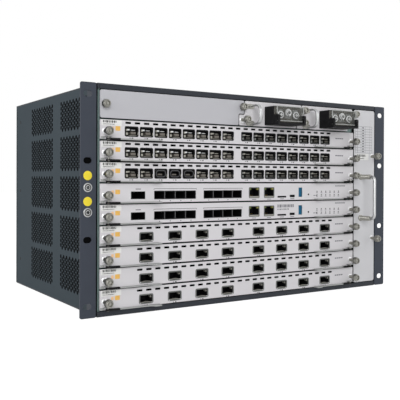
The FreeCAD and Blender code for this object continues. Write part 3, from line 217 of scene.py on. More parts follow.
# Dark steel: real dark screw heads, and also the dark necks of the left-hand thumbscrews and the rings in
# the earth socket grooves, which are painted shade.
NECK = look("dark_steel_and_painted_shade", (58, 56, 52), 0.4, metal=0.8, grain=0.1, fine=900, mottle=0.1)
ZINC = look("zinc_sheet", (98, 116, 114), 0.5, metal=0.6, grain=0.1, fine=300, mottle=0.15, patch=90)
CAST = look("cast_zinc", (146, 144, 136), 0.45, metal=0.5, grain=0.2, fine=1600, mottle=0.12, patch=80)
LEVER = look("lever_zinc", (156, 158, 157), 0.45, metal=0.3, grain=0.1, fine=900, mottle=0.06, patch=60)
BLACK = look("black_plastic", (15, 15, 17), 0.55, grain=0.2, fine=2600, mottle=0.1, shine=0.15)
DARK = look("dark_plastic", (46, 47, 49), 0.5, grain=0.2, fine=2600, mottle=0.1, shine=0.3)
FACE = look("terminal_face", (62, 58, 50), 0.45, grain=0.2, fine=2600, mottle=0.15, patch=120,
            shine=0.3)
# Near-black finish of the blocks and sheets put in gaps, slots, seams and holes: painted shade.
SHADE = look("painted_shade_black", (9, 9, 10), 0.95, grain=0.5, fine=1300, mottle=0.2, shine=0.05)
FRAME = look("port_frame", (104, 106, 104), 0.42, metal=0.4, grain=0.1, mottle=0.12, patch=120,
             shine=0.3)
SALMON = look("salmon_film", (240, 196, 150), 0.45, grain=0.06, mottle=0.1, patch=500)
DIVIDER = look("dark_sheet", (84, 84, 86), 0.45, metal=0.6, grain=0.1, mottle=0.1)
PLUG = look("grey_plastic", (98, 93, 86), 0.5, grain=0.15, fine=2400, mottle=0.15, patch=150)
BOARD = look("solder_mask", (24, 92, 58), 0.35, grain=0.3, fine=500, mottle=0.25, patch=220, coat=0.2)
PAPER = look("label_paper", (236, 236, 234), 0.6, grain=0.08, fine=1200, mottle=0.01, shine=0.2)
INK = ink_look("print_ink", (74, 74, 80))
FAINT = ink_look("faint_ink", (118, 118, 124))
YELLOW = look("yellow_film", (238, 216, 48), 0.4, grain=0.06, mottle=0.03)
ORANGE = look("orange_film", (234, 184, 92), 0.45, grain=0.06, mottle=0.12, patch=500)
BLUE = look("blue_plastic", (20, 88, 120), 0.5, grain=0.1, mottle=0.06, shine=0.2)
GOLD = look("gold_contact", (214, 176, 92), 0.3, metal=1, grain=0.05, mottle=0.1)
LENS_GREEN = lens_look("green_lens", (84, 98, 34), 0.25)
LENS_AMBER = lens_look("amber_lens", (120, 118, 48), 0.25)
LENS_PALE = lens_look("pale_lens", (58, 62, 58), 0.3)
CLEAR = clear_look("clear_plastic", (150, 152, 148), 0.12)
# Whitish, denser plastic on the cover's edges: painted highlights.
CLEAR_HIGHLIGHT = clear_look("clear_edge_highlight", (206, 208, 206), 0.7)

# Short names of the finishes that a card or plate collects its small pieces under.
FINISHES = {
    "cast": CAST, "black": BLACK, "plug": PLUG, "steel": STEEL, "lever": LEVER, "green": LENS_GREEN,
    "amber": LENS_AMBER, "pale": LENS_PALE, "gold": GOLD, "blue": BLUE, "paper": PAPER, "ink": INK,
    "faint": FAINT, "orange": ORANGE, "salmon": SALMON, "shade": SHADE, "divider": DIVIDER,
    "frame": FRAME, "metal": NICKEL, "neck": NECK,
}


def on_front(u, v, depth):
    """Point on the front plane, at a depth behind it."""
    return (u, FRONT + depth, v)


def on_left(u, v, depth):
    """Point on the left side, u behind the front plane."""
    return (-HALF_BODY + depth, FRONT + u, v)


def on_right(u, v, depth):
    """Point on the right side, u behind the front plane."""
    return (HALF_BODY - depth, FRONT + u, v)


def on_back(u, v, depth):
    """Point on the rear face."""
    return (u, BACK - depth, v)


def from_above(level):
    """Flat plane at a height, seen from above."""
    def place(u, v, depth):
        return (u, v, level - depth)
    return place


def across(x, way=1):
    """Upright plane at an x; depth is counted to the right, or to the left when way is -1."""
    def place(u, v, depth):
        return (x + way * depth, u, v)
    return place


def lifted(place, rise):
    """The same plane with its second coordinate counted from a height."""
    def lift(u, v, depth):
        return place(u, v + rise, depth)
    return lift


def behind(place, amount):
    """The same plane, set back by an amount."""
    def moved(u, v, depth):
        return place(u, v, depth + amount)
    return moved


def inset(box, amount):
    """Box drawn in on all sides; a negative amount widens it."""
    left, low, right, high = box
    return (left + amount, low + amount, right - amount, high - amount)


def rounded(left, low, right, high, radius, steps=4):
    """Corner points of a rectangle with round corners."""
    radius = min(radius, (right - left) / 2 - 0.001, (high - low) / 2 - 0.001)
    corners = [(right - radius, low + radius, -90), (right - radius, high - radius, 0),
               (left + radius, high - radius, 90), (left + radius, low + radius, 180)]
    points = []
    for x, y, first in corners:
        for step in range(steps + 1):
            angle = math.radians(first + 90 * step / steps)
            points.append((x + radius * math.cos(angle), y + radius * math.sin(angle)))
    return points


def eased(points, radius, steps=3):
    """Outline with every corner rounded."""
    soft = []
    for n, here in enumerate(points):
        corner = Vector(here)
        before = Vector(points[n - 1]) - corner
        after = Vector(points[(n + 1) % len(points)]) - corner
        start = corner + before.normalized() * min(radius, before.length / 2.1)
        end = corner + after.normalized() * min(radius, after.length / 2.1)
        for step in range(steps + 1):
            share = step / steps
            bend = start * (1 - share) ** 2 + corner * 2 * share * (1 - share) + end * share ** 2
            soft.append(tuple(bend))
    return soft


def ring(x, y, radius, sides):
    """Points of a circle."""
    turns = [2 * math.pi * (n + 0.5) / sides for n in range(sides)]
    return [(x + radius * math.cos(t), y + radius * math.sin(t)) for t in turns]


def grown(loop, amount):
    """Loop moved outwards by an amount, with mitred corners."""
    count = len(loop)
    area = sum(loop[n - 1][0] * loop[n][1] - loop[n][0] * loop[n - 1][1] for n in range(count))
    sign = 1 if area > 0 else -1
    moved = []
    for n in range(count):
        here = Vector(loop[n])
        into = (here - Vector(loop[n - 1])).normalized()
        out = (Vector(loop[(n + 1) % count]) - here).normalized()
        first = Vector((into.y, -into.x))
        second = Vector((out.y, -out.x))
        mitre = (first + second).normalized()
        reach = amount * sign / max(0.4, mitre.dot(first))
        moved.append(tuple(here + mitre * reach))
    return moved


class Shape:
    """Mesh under construction, in millimetres."""

    def __init__(self):
        self.points = []
        self.faces = []

    def add(self, points, faces):
        """Take in points, and faces that count from the first of them."""
        first = len(self.points)
        self.points += points
        self.faces += [[first + n for n in face] for face in faces]

    def bands(self, rings, close=True):
        """Skin over a row of loops with the same number of points."""
        count = len(rings[0])
        faces = []
        for level in range(len(rings) - 1):
            for n in range(count):
                after = (n + 1) % count
                low, high = level * count, (level + 1) * count
                faces.append([low + n, low + after, high + after, high + n])
        if close:
            faces.append(list(range(count)))
            faces.append([(len(rings) - 1) * count + n for n in range(count)])
        self.add([point for loop in rings for point in loop], faces)

    def block(self, one, other, edge=EDGE):
        """Box between two corners, with its edges broken."""
        spans = [sorted(pair) for pair in zip(one, other)]
        edge = min([edge] + [(end - start) * 0.225 for start, end in spans])
        (left, right), (near, far), (low, high) = [(a + edge, b - edge) for a, b in spans]

        def level(z, out):
            loop = [(left, near - out), (right, near - out), (right + out, near), (right + out, far),
                    (right, far + out), (left, far + out), (left - out, far), (left - out, near)]
            return [(x, y, z) for x, y in loop]

        self.bands([level(low - edge, 0), level(low, edge), level(high, edge), level(high + edge, 0)])

    def slab(self, place, box, back, front, edge=EDGE):
        """Block over a box of a plane, between two depths."""
        left, low, right, high = box
        self.block(place(left, low, back), place(right, high, front), edge)

    def sheet(self, place, outline, holes=(), thickness=PLATE, edge=EDGE, raised=0.0):
        """Flat plate with holes and broken front edges; place turns plane points into space."""
        sharp_loops = [outline] + list(holes)
        soft_loops = [grown(outline, -edge)] + [grown(hole, edge) for hole in holes]
        back = thickness - raised
        for loops, depth in ((soft_loops, -raised), (sharp_loops, back)):
            triangles = tessellate_polygon([[Vector((u, v, 0)) for u, v in loop] for loop in loops])
            self.add([place(u, v, depth) for loop in loops for u, v in loop], triangles)
        for sharp, soft in zip(sharp_loops, soft_loops):
            self.bands([[place(u, v, -raised) for u, v in soft],
                        [place(u, v, edge - raised) for u, v in sharp],
                        [place(u, v, back) for u, v in sharp]], close=False)

    def turned(self, place, x, y, profile, sides, flutes=(), close=True):
        """Round piece standing on a plane; the levels of its profile in flutes are knurled."""
        knurl = 0.93
        rings = []
        for level, (radius, height) in enumerate(profile):
            loop = []
            for n in range(sides):
                reach = radius * knurl if level in flutes and n % 2 else radius
                turn = 2 * math.pi * n / sides
                loop.append(place(x + reach * math.cos(turn), y + reach * math.sin(turn), -height))
            rings.append(loop)
        self.bands(rings, close)

    def tube(self, place, box, wall, corner, stations, close):
        """Wall inside a box; a station is 0 for its outer or 1 for its inner face, and a depth."""
        faces = (rounded(*box, corner + wall, 2), rounded(*inset(box, wall), corner, 2))
        self.bands([[place(u, v, depth) for u, v in faces[face]] for face, depth in stations], close)

    def tunnel(self, place, box, wall, start, end, floor, corner=0.3):
        """Tube with a rectangular mouth at depth start, its inner floor at a depth, ending at end."""
        self.tube(place, box, wall, corner, [(0, end), (0, start), (1, start), (1, floor)], True)

    def rim(self, place, box, wall, start, end, corner=0.3):
        """Tube with a rectangular section, open at both ends."""
        self.tube(place, box, wall, corner, [(0, end), (0, start), (1, start), (1, end), (0, end)], False)

    def rod(self, path, width, height, flat):
        """Bar swept along points in an upright plane; round, or flat with rounded edges."""
        section = ring(0, 0, width / 2, 16)
        if flat:
            section = rounded(-width / 2, -height / 2, width / 2, height / 2, min(width, height) * 0.35, 3)
        points = [Vector(p) for p in path]
        aside = Vector((1, 0, 0))
        rings = []
        for n, here in enumerate(points):
            ahead = (points[min(n + 1, len(points) - 1)] - points[max(n - 1, 0)]).normalized()
            up = aside.cross(ahead).normalized()
            rings.append([tuple(here + aside * u + up * v) for u, v in section])
        self.bands(rings)


def emit(shape, name, finish, body, stands_for=()):
    """Make a piece from a shape and let it ride on a body."""
    mesh = bpy.data.meshes.new(name)
    mesh.from_pydata([[c * MM for c in point] for point in shape.points], [], shape.faces)
    work = bmesh.new()
    work.from_mesh(mesh)
    bmesh.ops.remove_doubles(work, verts=work.verts, dist=1e-7)
    bmesh.ops.recalc_face_normals(work, faces=work.faces)
    work.to_mesh(mesh)
    work.free()
    mesh.shade_smooth()
    mesh.set_sharp_from_angle(angle=SHARP_ANGLE)
    piece = bpy.data.objects.new(name, mesh)
    bpy.context.scene.collection.objects.link(piece)
    mesh.materials.append(finish)
    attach(piece, body)
    if stands_for:
        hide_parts(*stands_for)


def new_shapes(*words):
    """An empty shape for each finish."""
    return {word: Shape() for word in words}


def emit_all(shapes, name, body):
    """Make a piece from each shape that holds anything."""
    for word, shape in shapes.items():
        if shape.faces:
            emit(shape, f"{name}_{word}", FINISHES[word], body)


def finish_node(name, finish, edge=EDGE):
    """Give a solid that stays its finish and broken edges."""
    piece = nodes[name]
    piece.data.materials.clear()
    piece.data.materials.append(finish)
    weld = piece.modifiers.new("weld", "WELD")
    weld.merge_threshold = 1e-6
    bevel = piece.modifiers.new("edges", "BEVEL")
    bevel.width = edge * MM
    bevel.segments = 2
    bevel.limit_method = "ANGLE"
    bevel.angle_limit = SHARP_ANGLE


def thumbscrew(shapes, x, z, neck=NECK_LENGTH, tone="neck"):
    """Captive screw: pale collar, dark neck, knurled knob and a recessed front. The dark neck is painted
    shade; screws given the cast tone show the neck lit.
    """
    stem = [(0.5, 0.7), (2.3, 0.7), (2.3, neck + 0.5), (0.5, neck + 0.6)]
    knob = [(radius, height + neck) for radius, height in KNOB]
    shapes["steel"].turned(on_front, x, z, COLLAR, 28)
    shapes[tone].turned(on_front, x, z, stem, 20)
    shapes["metal"].turned(on_front, x, z, knob, 44, flutes=(2, 3))


def gap_shade(shape, at, left, right, low, high):
    """Black strips along the upper and lower edge of a plate: painted shade seen in the gaps between
    plates.
    """
    for bottom in (low, high - 1.1):
        shape.slab(at, (left, bottom, right, bottom + 1.1), back=SHADE_BACK, front=0.4, edge=0.1)


def dashes(first, count, height):
    """Row of short cooling slots."""
    middles = [first + DASH_STEP * n for n in range(count)]
    return [rounded(x - 3.6, height - 1.2, x + 3.6, height + 1.2, 0.8, 3) for x in middles]


def port_boxes(kind):
    """Boxes of a line card's ports, in two groups."""
    size = PORTS[kind]
    boxes = []
    for group in range(2):
        for n in range(size["count"]):
            left = size["first"] + group * GROUP_STEP + size["step"] * n
            boxes.append((left, size["low"], left + size["width"], size["high"]))
    return boxes


def cells(bay):
    """Boxes of the cages in a bay."""
    left, low, _, high = bay
    return [(left + CELL * n, low, left + CELL * (n + 1), high) for n in range(CELLS)]


def plate_holes(kind):
    """Holes of a card's front plate."""
    boxes = [UPLINK, *BAYS, *JACKS, MEMORY, MINI, SERVICE] if kind == "control" else port_boxes(kind)
    holes = [rounded(*box, 0.5, 2) for box in boxes]
    if kind == "control":
        return holes + [ring(*PINHOLE, 1.2, 12)]
    return holes + dashes(*DASH_ROWS[kind])


def narrow_module(box, at, shapes, tones, arched):
    """Transceiver in a narrow port: dark mouth, broken cast post, ferrule block and bright bail bits."""
    left, low, right, high = box
    post, plug, bail = tones
    black = shapes["black"]
    black.tunnel(at, box, wall=0.4, start=0.3, end=30, floor=7)
    # A black frame round the window widens the dark mouth: painted shade of the opening.
    black.rim(at, (left - 0.5, low - 0.7, right + 1.3, high + 0.2), wall=1.4, start=-0.12, end=0.3)
    rib = (right + 0.1, low + 1.4, right + 1.0, low + 4.6)
    shapes[post].slab(at, rib, back=0.2, front=-0.3, edge=0.2)
    if arched:
        arch = (left + 1.3, low + 1.2, right - 1.3, high - 1.6)
        shapes["divider"].rim(at, arch, wall=0.7, start=-1.2, end=7, corner=2.6)
        black.tunnel(at, inset(arch, 0.7), wall=0.9, start=-0.4, end=7, floor=6.8, corner=2.0)
        shapes["plug"].slab(at, (left + 5.0, low + 3.4, left + 11.0, low + 5.2), back=6.8, front=1.2)
        return
    for bottom, top in ((low + 1.0, low + 4.2), (low + 5.6, high - 3.0)):
        shapes[post].slab(at, (left + 0.9, bottom, left + 3.6, top), back=7, front=-0.9, edge=0.4)
    shapes[post].slab(at, (left + 4.6, low + 0.4, right - 1.4, low + 1.0), back=5, front=-0.4)
    ferrule = (left + 7.2, low + 1.8, left + 13.8, low + 5.2)
    shapes[plug].slab(at, ferrule, back=6.8, front=-0.3, edge=0.5)
    shapes[bail].slab(at, (left + 7.0, low + 6.5, left + 12.2, low + 7.2), back=3, front=-1.2)
    shapes[bail].slab(at, (left + 2.4, high - 4.8, left + 5.4, high - 3.0), back=3, front=-1.3)


def wide_module(box, at, shapes):
    """Wide port: dull frame round a dark cage, a latch and a curved bail lip at the bottom."""
    left, low, right, high = box
    border = (left - 0.7, low - 0.5, right + 0.7, high + 0.3)
    shapes["frame"].rim(at, border, wall=1.4, start=-0.35, end=5, corner=0.5)
    cage = (left + 0.7, low + 0.9, right - 0.7, high - 1.1)
    shapes["black"].tunnel(at, cage, wall=0.4, start=0.3, end=CAGE_DEPTH, floor=16)
    lip_width, lip_height, lip_rise = 12.7, 0.55, 0.8
    shares = [n / 8 for n in range(9)]
    arch = [(left + 2.4 + lip_width * s, low + 1.3 + lip_rise * math.sin(math.pi * s)) for s in shares]
    lip = arch + [(u, v - lip_height) for u, v in reversed(arch)]
    shapes["cast"].sheet(at, lip, thickness=3.6, edge=0.12, raised=0.5)
    for corner in (left + 0.4, right - 2.0):
        shapes["steel"].slab(at, (corner, low + 0.3, corner + 1.6, low + 1.3), back=3, front=-0.6)
    shapes["cast"].slab(at, (right - 2.7, high - 4.4, right - 1.6, high - 2.2), back=6, front=0.4)


def line_ports(slot, kind, at, shapes):
    """Black sheets behind the cooling slots as painted shade, and a module or a cage in every port."""
    for dash in dashes(*DASH_ROWS[kind]):
        shapes["shade"].sheet(at, dash, thickness=1.8, edge=0.05, raised=-0.3)
    for number, box in enumerate(port_boxes(kind)):
        if kind == "wide":
            wide_module(box, at, shapes)
            continue
        tones = ("cast", "plug", "steel" if slot > FIRST_NARROW and number < 6 else "cast")
        if number >= PORTS[kind]["count"]:
            tones = ("frame", "neck", "cast")
        narrow_module(box, at, shapes, tones, slot == FIRST_NARROW and 2 <= number <= 4)


def network_jack(box, at, shapes):
    """Shielded network jack: dull rim, dark opening, pale lower bar, two corner lenses and contacts."""
    left, low, right, high = box
    shapes["frame"].rim(at, inset(box, -0.3), wall=0.9, start=-0.4, end=6)
    shapes["cast"].slab(at, (left + 0.5, low + 0.4, right - 0.5, low + 2.2), back=3, front=-0.5)
    opening = (left + 0.6, low + 2.1, right - 0.6, high - 0.6)
    shapes["black"].tunnel(at, opening, wall=0.5, start=0.4, end=20, floor=12)
    for lens, word in ((left + 0.7, "green"), (right - 3.7, "amber")):
        shapes[word].slab(at, (lens, high - 3.2, lens + 3.0, high - 0.8), back=3, front=0.1)
    for pin in range(8):
        u = (left + right) / 2 - 4.4 + 1.2 * pin
        shapes["gold"].slab(at, (u, low + 3.0, u + 0.5, low + 3.5), back=11.5, front=8.5, edge=0.1)


def control_parts(at, shapes):
    """Cages, jacks, slots and lenses of a control card."""
    black, divider, steel = shapes["black"], shapes["divider"], shapes["steel"]
    steel.rim(at, UPLINK, wall=0.6, start=0.2, end=6)
    black.tunnel(at, inset(UPLINK, 0.6), wall=0.4, start=1.2, end=CAGE_DEPTH, floor=30)
    for bay in BAYS:
        for cell in cells(bay):
            divider.rim(at, cell, wall=0.4, start=0.7, end=6)
            black.tunnel(at, inset(cell, 0.4), wall=0.3, start=1.4, end=CAGE_DEPTH, floor=30)
    for jack in JACKS:
        network_jack(jack, at, shapes)
    black.tunnel(at, MEMORY, wall=0.3, start=0.2, end=20, floor=3, corner=0.1)
    # Black lining in the reset pinhole: painted shade.
    shapes["shade"].turned(at, *PINHOLE, BORE, 16, close=False)
    divider.rim(at, MINI, wall=0.35, start=0.2, end=4, corner=0.4)
    black.tunnel(at, inset(MINI, 0.35), wall=0.3, start=0.3, end=20, floor=4)
    steel.tunnel(at, SERVICE, wall=0.35, start=-0.2, end=20, floor=12)
    shapes["blue"].slab(at, inset(SERVICE, 0.6), back=12, front=0.5)
    for column in range(6):
        x = 108.1 + 8.1 * column
        for height in (12.2, 7.4):
            shapes["pale"].turned(at, x, height, LENS, 12)
            print_on(shapes["faint"], at, x - 1.4, height - 2.4, x + 1.4, height - 1.5)


def print_on(shape, at, left, low, right, high):
    """Thin printed mark on a plate."""
    corners = [(left, low), (right, low), (right, high), (left, high)]
    shape.sheet(at, corners, thickness=0.05, edge=0.01, raised=0.03)


def sticker(shape, at, box, raised=0.12):
    """Film or paper with round corners."""
    shape.sheet(at, rounded(*box, 0.6, 2), thickness=0.2, edge=0.05, raised=raised)


def bars(shape, at, left, low, right, high):
    """Plain upright bars of uneven width, as on a stock label."""
    widths, gap = (1.5, 0.8, 2.0, 1.1, 0.7, 1.7), 0.9
    x = left
    turn = 0
    while x + widths[turn % len(widths)] < right:
        width = widths[turn % len(widths)]
        print_on(shape, behind(at, -0.12), x, low, x + width, high)
        x += width + gap
        turn += 1


def label(shapes, at, left, low, right, high):
    """Paper label standing a little proud, with plain bars and a faint rule below them."""
    height = high - low
    sticker(shapes["paper"], at, (left, low, right, high), 0.15)
    bars(shapes["ink"], at, left + 2, low + height * 0.5, right - 4, high - height * 0.1)
    rule_low, rule_high = low + height * 0.2, low + height * 0.3
    print_on(shapes["faint"], behind(at, -0.12), left + 2, rule_low, right - 9, rule_high)


def print_rules(shape, at, left, low, high, count):
    """Row of plain short rules."""
    step, length = 3.9, 3.1
    for rule in range(count):
        start = left + step * rule
        print_on(shape, at, start, low, start + length, high)


def control_prints(at, ink, faint):
    """Printed marks of a control card: brackets over the bays, marks under the openings."""
    for bay in BAYS:
        left, right = bay[0] - 0.6, bay[2] + 0.6
        print_on(ink, at, left, 17.0, right, 17.5)
        for x in (left, right - 0.4):
            print_on(ink, at, x, 15.8, x + 0.4, 17.0)
        for cell in cells(bay):
            middle = (cell[0] + cell[2]) / 2
            print_on(ink, at, middle - 0.6, 2.3, middle + 0.6, 3.3)
    print_on(ink, at, UPLINK[0] + 6.5, 16.6, UPLINK[2] - 6.5, 17.4)
    for box in (MEMORY, MINI, *JACKS):
        middle = (box[0] + box[2]) / 2
        print_on(faint, at, middle - 3.4, 2.2, middle + 3.4, 3.1)
    print_rules(faint, at, 142.4, 19.0, 20.4, 5)
    print_rules(faint, at, 101.6, 6.2, 7.2, 2)


def card_prints(kind, at, shapes, labelled):
    """Labels and printed marks on a card's plate."""
    ink, faint = shapes["ink"], shapes["faint"]
    if labelled:
        label(shapes, at, -216.2, 16.6, -191.0, 23.2)
    sticker(shapes["orange"], at, (-198.8, 11.2, -192.8, 16.4))
    sticker(shapes["salmon"], at, (-203.6, 11.8, -200.4, 15.6))
    if kind == "control":
        control_prints(at, ink, faint)
        return
    print_rules(faint, at, 142.4, 13.4, 15.0, 4)
    height = PORT_MARKS[kind]
    for box in port_boxes(kind):
        middle = (box[0] + box[2]) / 2
        print_on(ink, at, middle - 2.2, height, middle - 1.0, height + 1.0)
        print_on(ink, at, middle + 0.4, height - 0.1, middle + 2.4, height + 1.1)


def lever_outlines(pivot, inward):
    """Outlines of an ejector lever seen from above: a cam end with a round eye, a handle with a tab."""
    def spots(*pairs):
        return [(pivot + inward * along, PIN_Y + back) for along, back in pairs]

    eye, joint = 3.0, 14.4
    turns = [math.radians(70 + 220 * n / 12) for n in range(13)]
    cam = spots(*[(eye * math.cos(turn), eye * math.sin(turn)) for turn in turns])
    cam += spots((5.5, -1.75), (joint, -1.75), (joint, 1.7), (5.5, 1.9))
    handle = spots((joint, -1.75), (50, -1.7), (54.5, -2.2), (58, -5.9), (59.5, -6.5), (65.5, -6.5),
                   (66.7, -5.6), (67, 1.7), (joint, 1.7))
    return cam, handle


def levers(name, floor):
    """Two ejector levers of a card."""
    ends = (("left", CARD_LEFT + LEVER_INSET, 1), ("right", CARD_RIGHT - LEVER_INSET, -1))
    for word, pivot, inward in ends:
        node = f"{name}_{word}_lever"
        cam_line, handle_line = lever_outlines(pivot, inward)
        cam, handle = Shape(), Shape()
        eye = ring(pivot, PIN_Y, 1.45, 16)
        cam.sheet(from_above(floor + 2.6), cam_line, [eye], thickness=1.9, edge=0.2)
        handle.sheet(from_above(floor + 2.3), handle_line, thickness=1.5, edge=0.25)
        for rib in range(3):
            x = pivot + inward * (60 + 2 * rib)
            handle.block((x - 0.4, FRONT - 9.7, floor + 1.0), (x + 0.4, FRONT - 9.4, floor + 2.1), 0.1)
        emit(handle, f"{node}_handle", LEVER, node, [node])
        # The cam is drawn black, which paints the shade under the lever's outer end.
        emit(cam, f"{node}_cam", BLACK, node)


def card_board(name, floor):
    """Circuit board with chips, finned heat sinks and the rear connector."""
    top = floor + BOARD_TOP
    circuit, chips, sinks = Shape(), Shape(), Shape()
    circuit.block((-204.5, FRONT + PLATE, floor + 1.6), (164.4, 84.0, top), 0.15)
    emit(circuit, f"{name}_circuit", BOARD, name, [f"{name}_board"])
    chips.block((-80.05, 64.7, top), (39.95, 78.7, floor + 11.2), 0.5)
    for n in range(10):
        x = -180 + 34 * n
        y = -20 + 9 * (n % 3)
        chips.block((x, -78, top), (x + 14, -64, floor + 4.8), 0.3)
        chips.block((x + 4, y, top), (x + 16, y + 9, floor + 4.6), 0.3)
    emit(chips, f"{name}_chips", BLACK, name)
    front, back = -46, 22
    for left in (-120, 20):
        sinks.block((left, front, top), (left + 62, back, floor + 6), 0.3)
        for fin in range(14):
            x = left + 0.6 + 4.6 * fin
            sinks.block((x, front, floor + 5.8), (x + 1.4, back, floor + 15), 0.2)
    emit(sinks, f"{name}_heat_sinks", ZINC, name)


def card_outline():
    """Outline of a card's plate, with a notch at its lower right."""
    inner, step = CARD_RIGHT - NOTCH, PLATE_LOW + NOTCH
    corners = [(CARD_LEFT, PLATE_LOW), (inner, PLATE_LOW), (inner, step), (CARD_RIGHT, step),
               (CARD_RIGHT, PLATE_HIGH), (CARD_LEFT, PLATE_HIGH)]
    return eased(corners, 0.8)


def card(slot, name, kind):
    """One plug-in card: plate, screws, lugs, ports, prints, levers and board."""
    floor = RAIL + PITCH * slot
    at = lifted(on_front, floor)
    plate = Shape()
    plate.sheet(at, card_outline(), plate_holes(kind))
    emit(plate, f"{name}_plate", PALE, name, [f"{name}_faceplate"])
    shapes = new_shapes(*FINISHES)
    lever, shade = shapes["lever"], shapes["shade"]
    for pivot in (CARD_LEFT + LEVER_INSET, CARD_RIGHT - LEVER_INSET):
        lever.slab(at, (pivot - 3.5, 3.75, pivot + 3.5, 4.55), back=0.3, front=-6.25, edge=0.2)
        shapes["metal"].turned(from_above(floor + 4.9), pivot, PIN_Y, LEVER_PIN, 16)
    # Lit and shaded copies of one neck: dark on the left screw as painted shade, cast grey on the right
    # one.
    thumbscrew(shapes, CARD_LEFT + SCREW_INSET, floor + SCREW_HEIGHT)
    thumbscrew(shapes, CARD_RIGHT - SCREW_INSET, floor + SCREW_HEIGHT, tone="cast")
    # Black strips in the gaps above and below the plate, and a black block behind the notch: painted shade.
    gap_shade(shade, at, CARD_LEFT + 0.6, CARD_RIGHT - 0.2, SLOT_LOW, SLOT_HIGH)
    notch = (CARD_RIGHT - NOTCH - 0.5, SLOT_LOW, CARD_RIGHT - 0.1, 4.4)
    shade.slab(at, notch, back=SHADE_BACK, front=0.5, edge=0.1)
    lever.slab(at, (CARD_LEFT + 0.3, PLATE_LOW, CARD_LEFT + 5.2, 4.2), back=0.3, front=-0.5, edge=0.2)
    if kind == "control":
        control_parts(at, shapes)
    else:
        line_ports(slot, kind, at, shapes)
    card_prints(kind, at, shapes, name != "upper_control_card")
    if name == "lower_control_card":
        bars(shapes["faint"], at, 38.0, 15.4, 66.0, 19.4)
        bars(shapes["faint"], at, 38.0, 12.2, 58.0, 13.8)
    emit_all(shapes, name, name)
    card_board(name, floor)
    levers(name, floor)


def perforation(left, low, right, high):
    """Round holes in staggered columns that fill a field."""
    columns, radius, spacing = 17, 2.65, 6.4
    count = round((high - low) / spacing)
    step = (right - left - 2 * radius) / (columns - 1)
    pitch = (high - low - 2 * radius) / (count - 0.5)
    holes = []
    for column in range(columns):
        x = left + radius + column * step
        first = low + radius + (pitch / 2 if column % 2 == 0 else 0)
        holes += [ring(x, first + n * pitch, radius, 12) for n in range(count)]
    return holes


def side_panel(node, place):
    """Side sheet with ten fields of fine round perforation, and a dark backing sheet behind it that paints
    the shade seen through the holes.
    """
    rows, first, step = 5, 16.9, 49.4
    holes = []
    for left, right in ((30.2, 115.7), (142.4, 227.9)):
        for row in range(rows):
            low = first + step * row
            holes += perforation(left, low, right, low + (38.4 if row == rows - 1 else 43.5))
    skin, hole_shade, heads = Shape(), Shape(), Shape()
    near, far, top = PLATE + 0.3, 298, HEIGHT - SHEET
    outline = [(near, SHEET), (far, SHEET), (far, top), (near, top)]
    skin.sheet(place, outline, holes, thickness=0.2, edge=0.05)
    # A dark line near the rear edge paints the shade at the rear flange.
    print_on(hole_shade, place, 293.4, 2.0, 294.4, 256.0)
    hole_shade.sheet(behind(place, 0.23), outline, thickness=0.7, edge=0.1)
    emit(skin, f"{node}_sheet", SIDE_SLATE_LIT, "chassis", [node])
    emit(hole_shade, f"{node}_filters", SHADE, "chassis")
    for z in (38, 138, 238):
        heads.turned(place, 277.6, z, SUNK_HEAD, 20)
    emit(heads, f"{node}_screws", BLACK, "chassis")


def mounting_ear(node, side):
    """Rack ear: slotted front flange, a black strip of painted shade in the seam along its root, and a
    flange along the side.
    """
    angle, seam, heads = Shape(), Shape(), Shape()
    x = side * EAR_MIDDLE
    outer_slots, inner_slots = 238.1, 88.9
    slots = []
    for spacing in (outer_slots, inner_slots):
        for sign in (-1, 1):
            z = HEIGHT / 2 + sign * spacing / 2
            slots.append(rounded(x - 5, z - 3.5, x + 5, z + 3.5, 3.49, 6))
            # Black blocks behind the inner slots of the left ear: painted shade seen through them.
            if side < 0 and spacing == inner_slots:
                seam.slab(on_front, (x - 6.5, z - 5, x + 6.5, z + 5), back=4.5, front=2.2, edge=0.4)
    if side < 0:
        slots += [ring(x, z, 4.3, 20) for z in EARTH_HEIGHTS]
    root, tip = sorted((side * (HALF_BODY + 1.2), side * RACK_HALF))
    angle.sheet(on_front, rounded(root, 0, tip, HEIGHT, 2.0), slots, thickness=2.0)
    inner, outer = side * HALF_BODY, side * (HALF_BODY + SHEET)
    angle.block((inner, FRONT + 1.9, 0.2), (outer, FRONT + 26, HEIGHT - 0.2), 0.3)
    emit(angle, f"{node}_angle", SLATE, "chassis", [node])
    # Black strip in the seam at the ear's root: painted shade.
    inner, outer = side * (HALF_BODY + 0.05), side * (HALF_BODY + 1.15)
    seam.block((inner, FRONT + 1.4, 0.4), (outer, FRONT + 1.9, HEIGHT - 0.4), 0.1)
    emit(seam, f"{node}_seam", SHADE, "chassis")
    for z in (20, 76, 188, 244):
        heads.turned(on_left if side < 0 else on_right, 14, z, EAR_HEAD, 20)
    emit(heads, f"{node}_screws", NECK, "chassis")


def earth_fittings():
    """Bright earth sockets and plain yellow discs on the left ear."""
    sockets, grooves, discs = Shape(), Shape(), Shape()
    for z in EARTH_HEIGHTS:
        sockets.turned(on_front, -EAR_MIDDLE, z, EARTH_SOCKET, 32)
        # The dark ring in each socket's groove is painted shade.
        grooves.turned(on_front, -EAR_MIDDLE, z, EARTH_GROOVE, 32, close=False)
    for z in DISC_HEIGHTS:
        discs.turned(on_front, -EAR_MIDDLE, z, DISC, 32)
    emit(sockets, "earth_socket_pair", BRIGHT, "chassis", ["earth_sockets"])
    emit(grooves, "earth_socket_grooves", NECK, "chassis")
    emit(discs, "yellow_discs", YELLOW, "chassis")


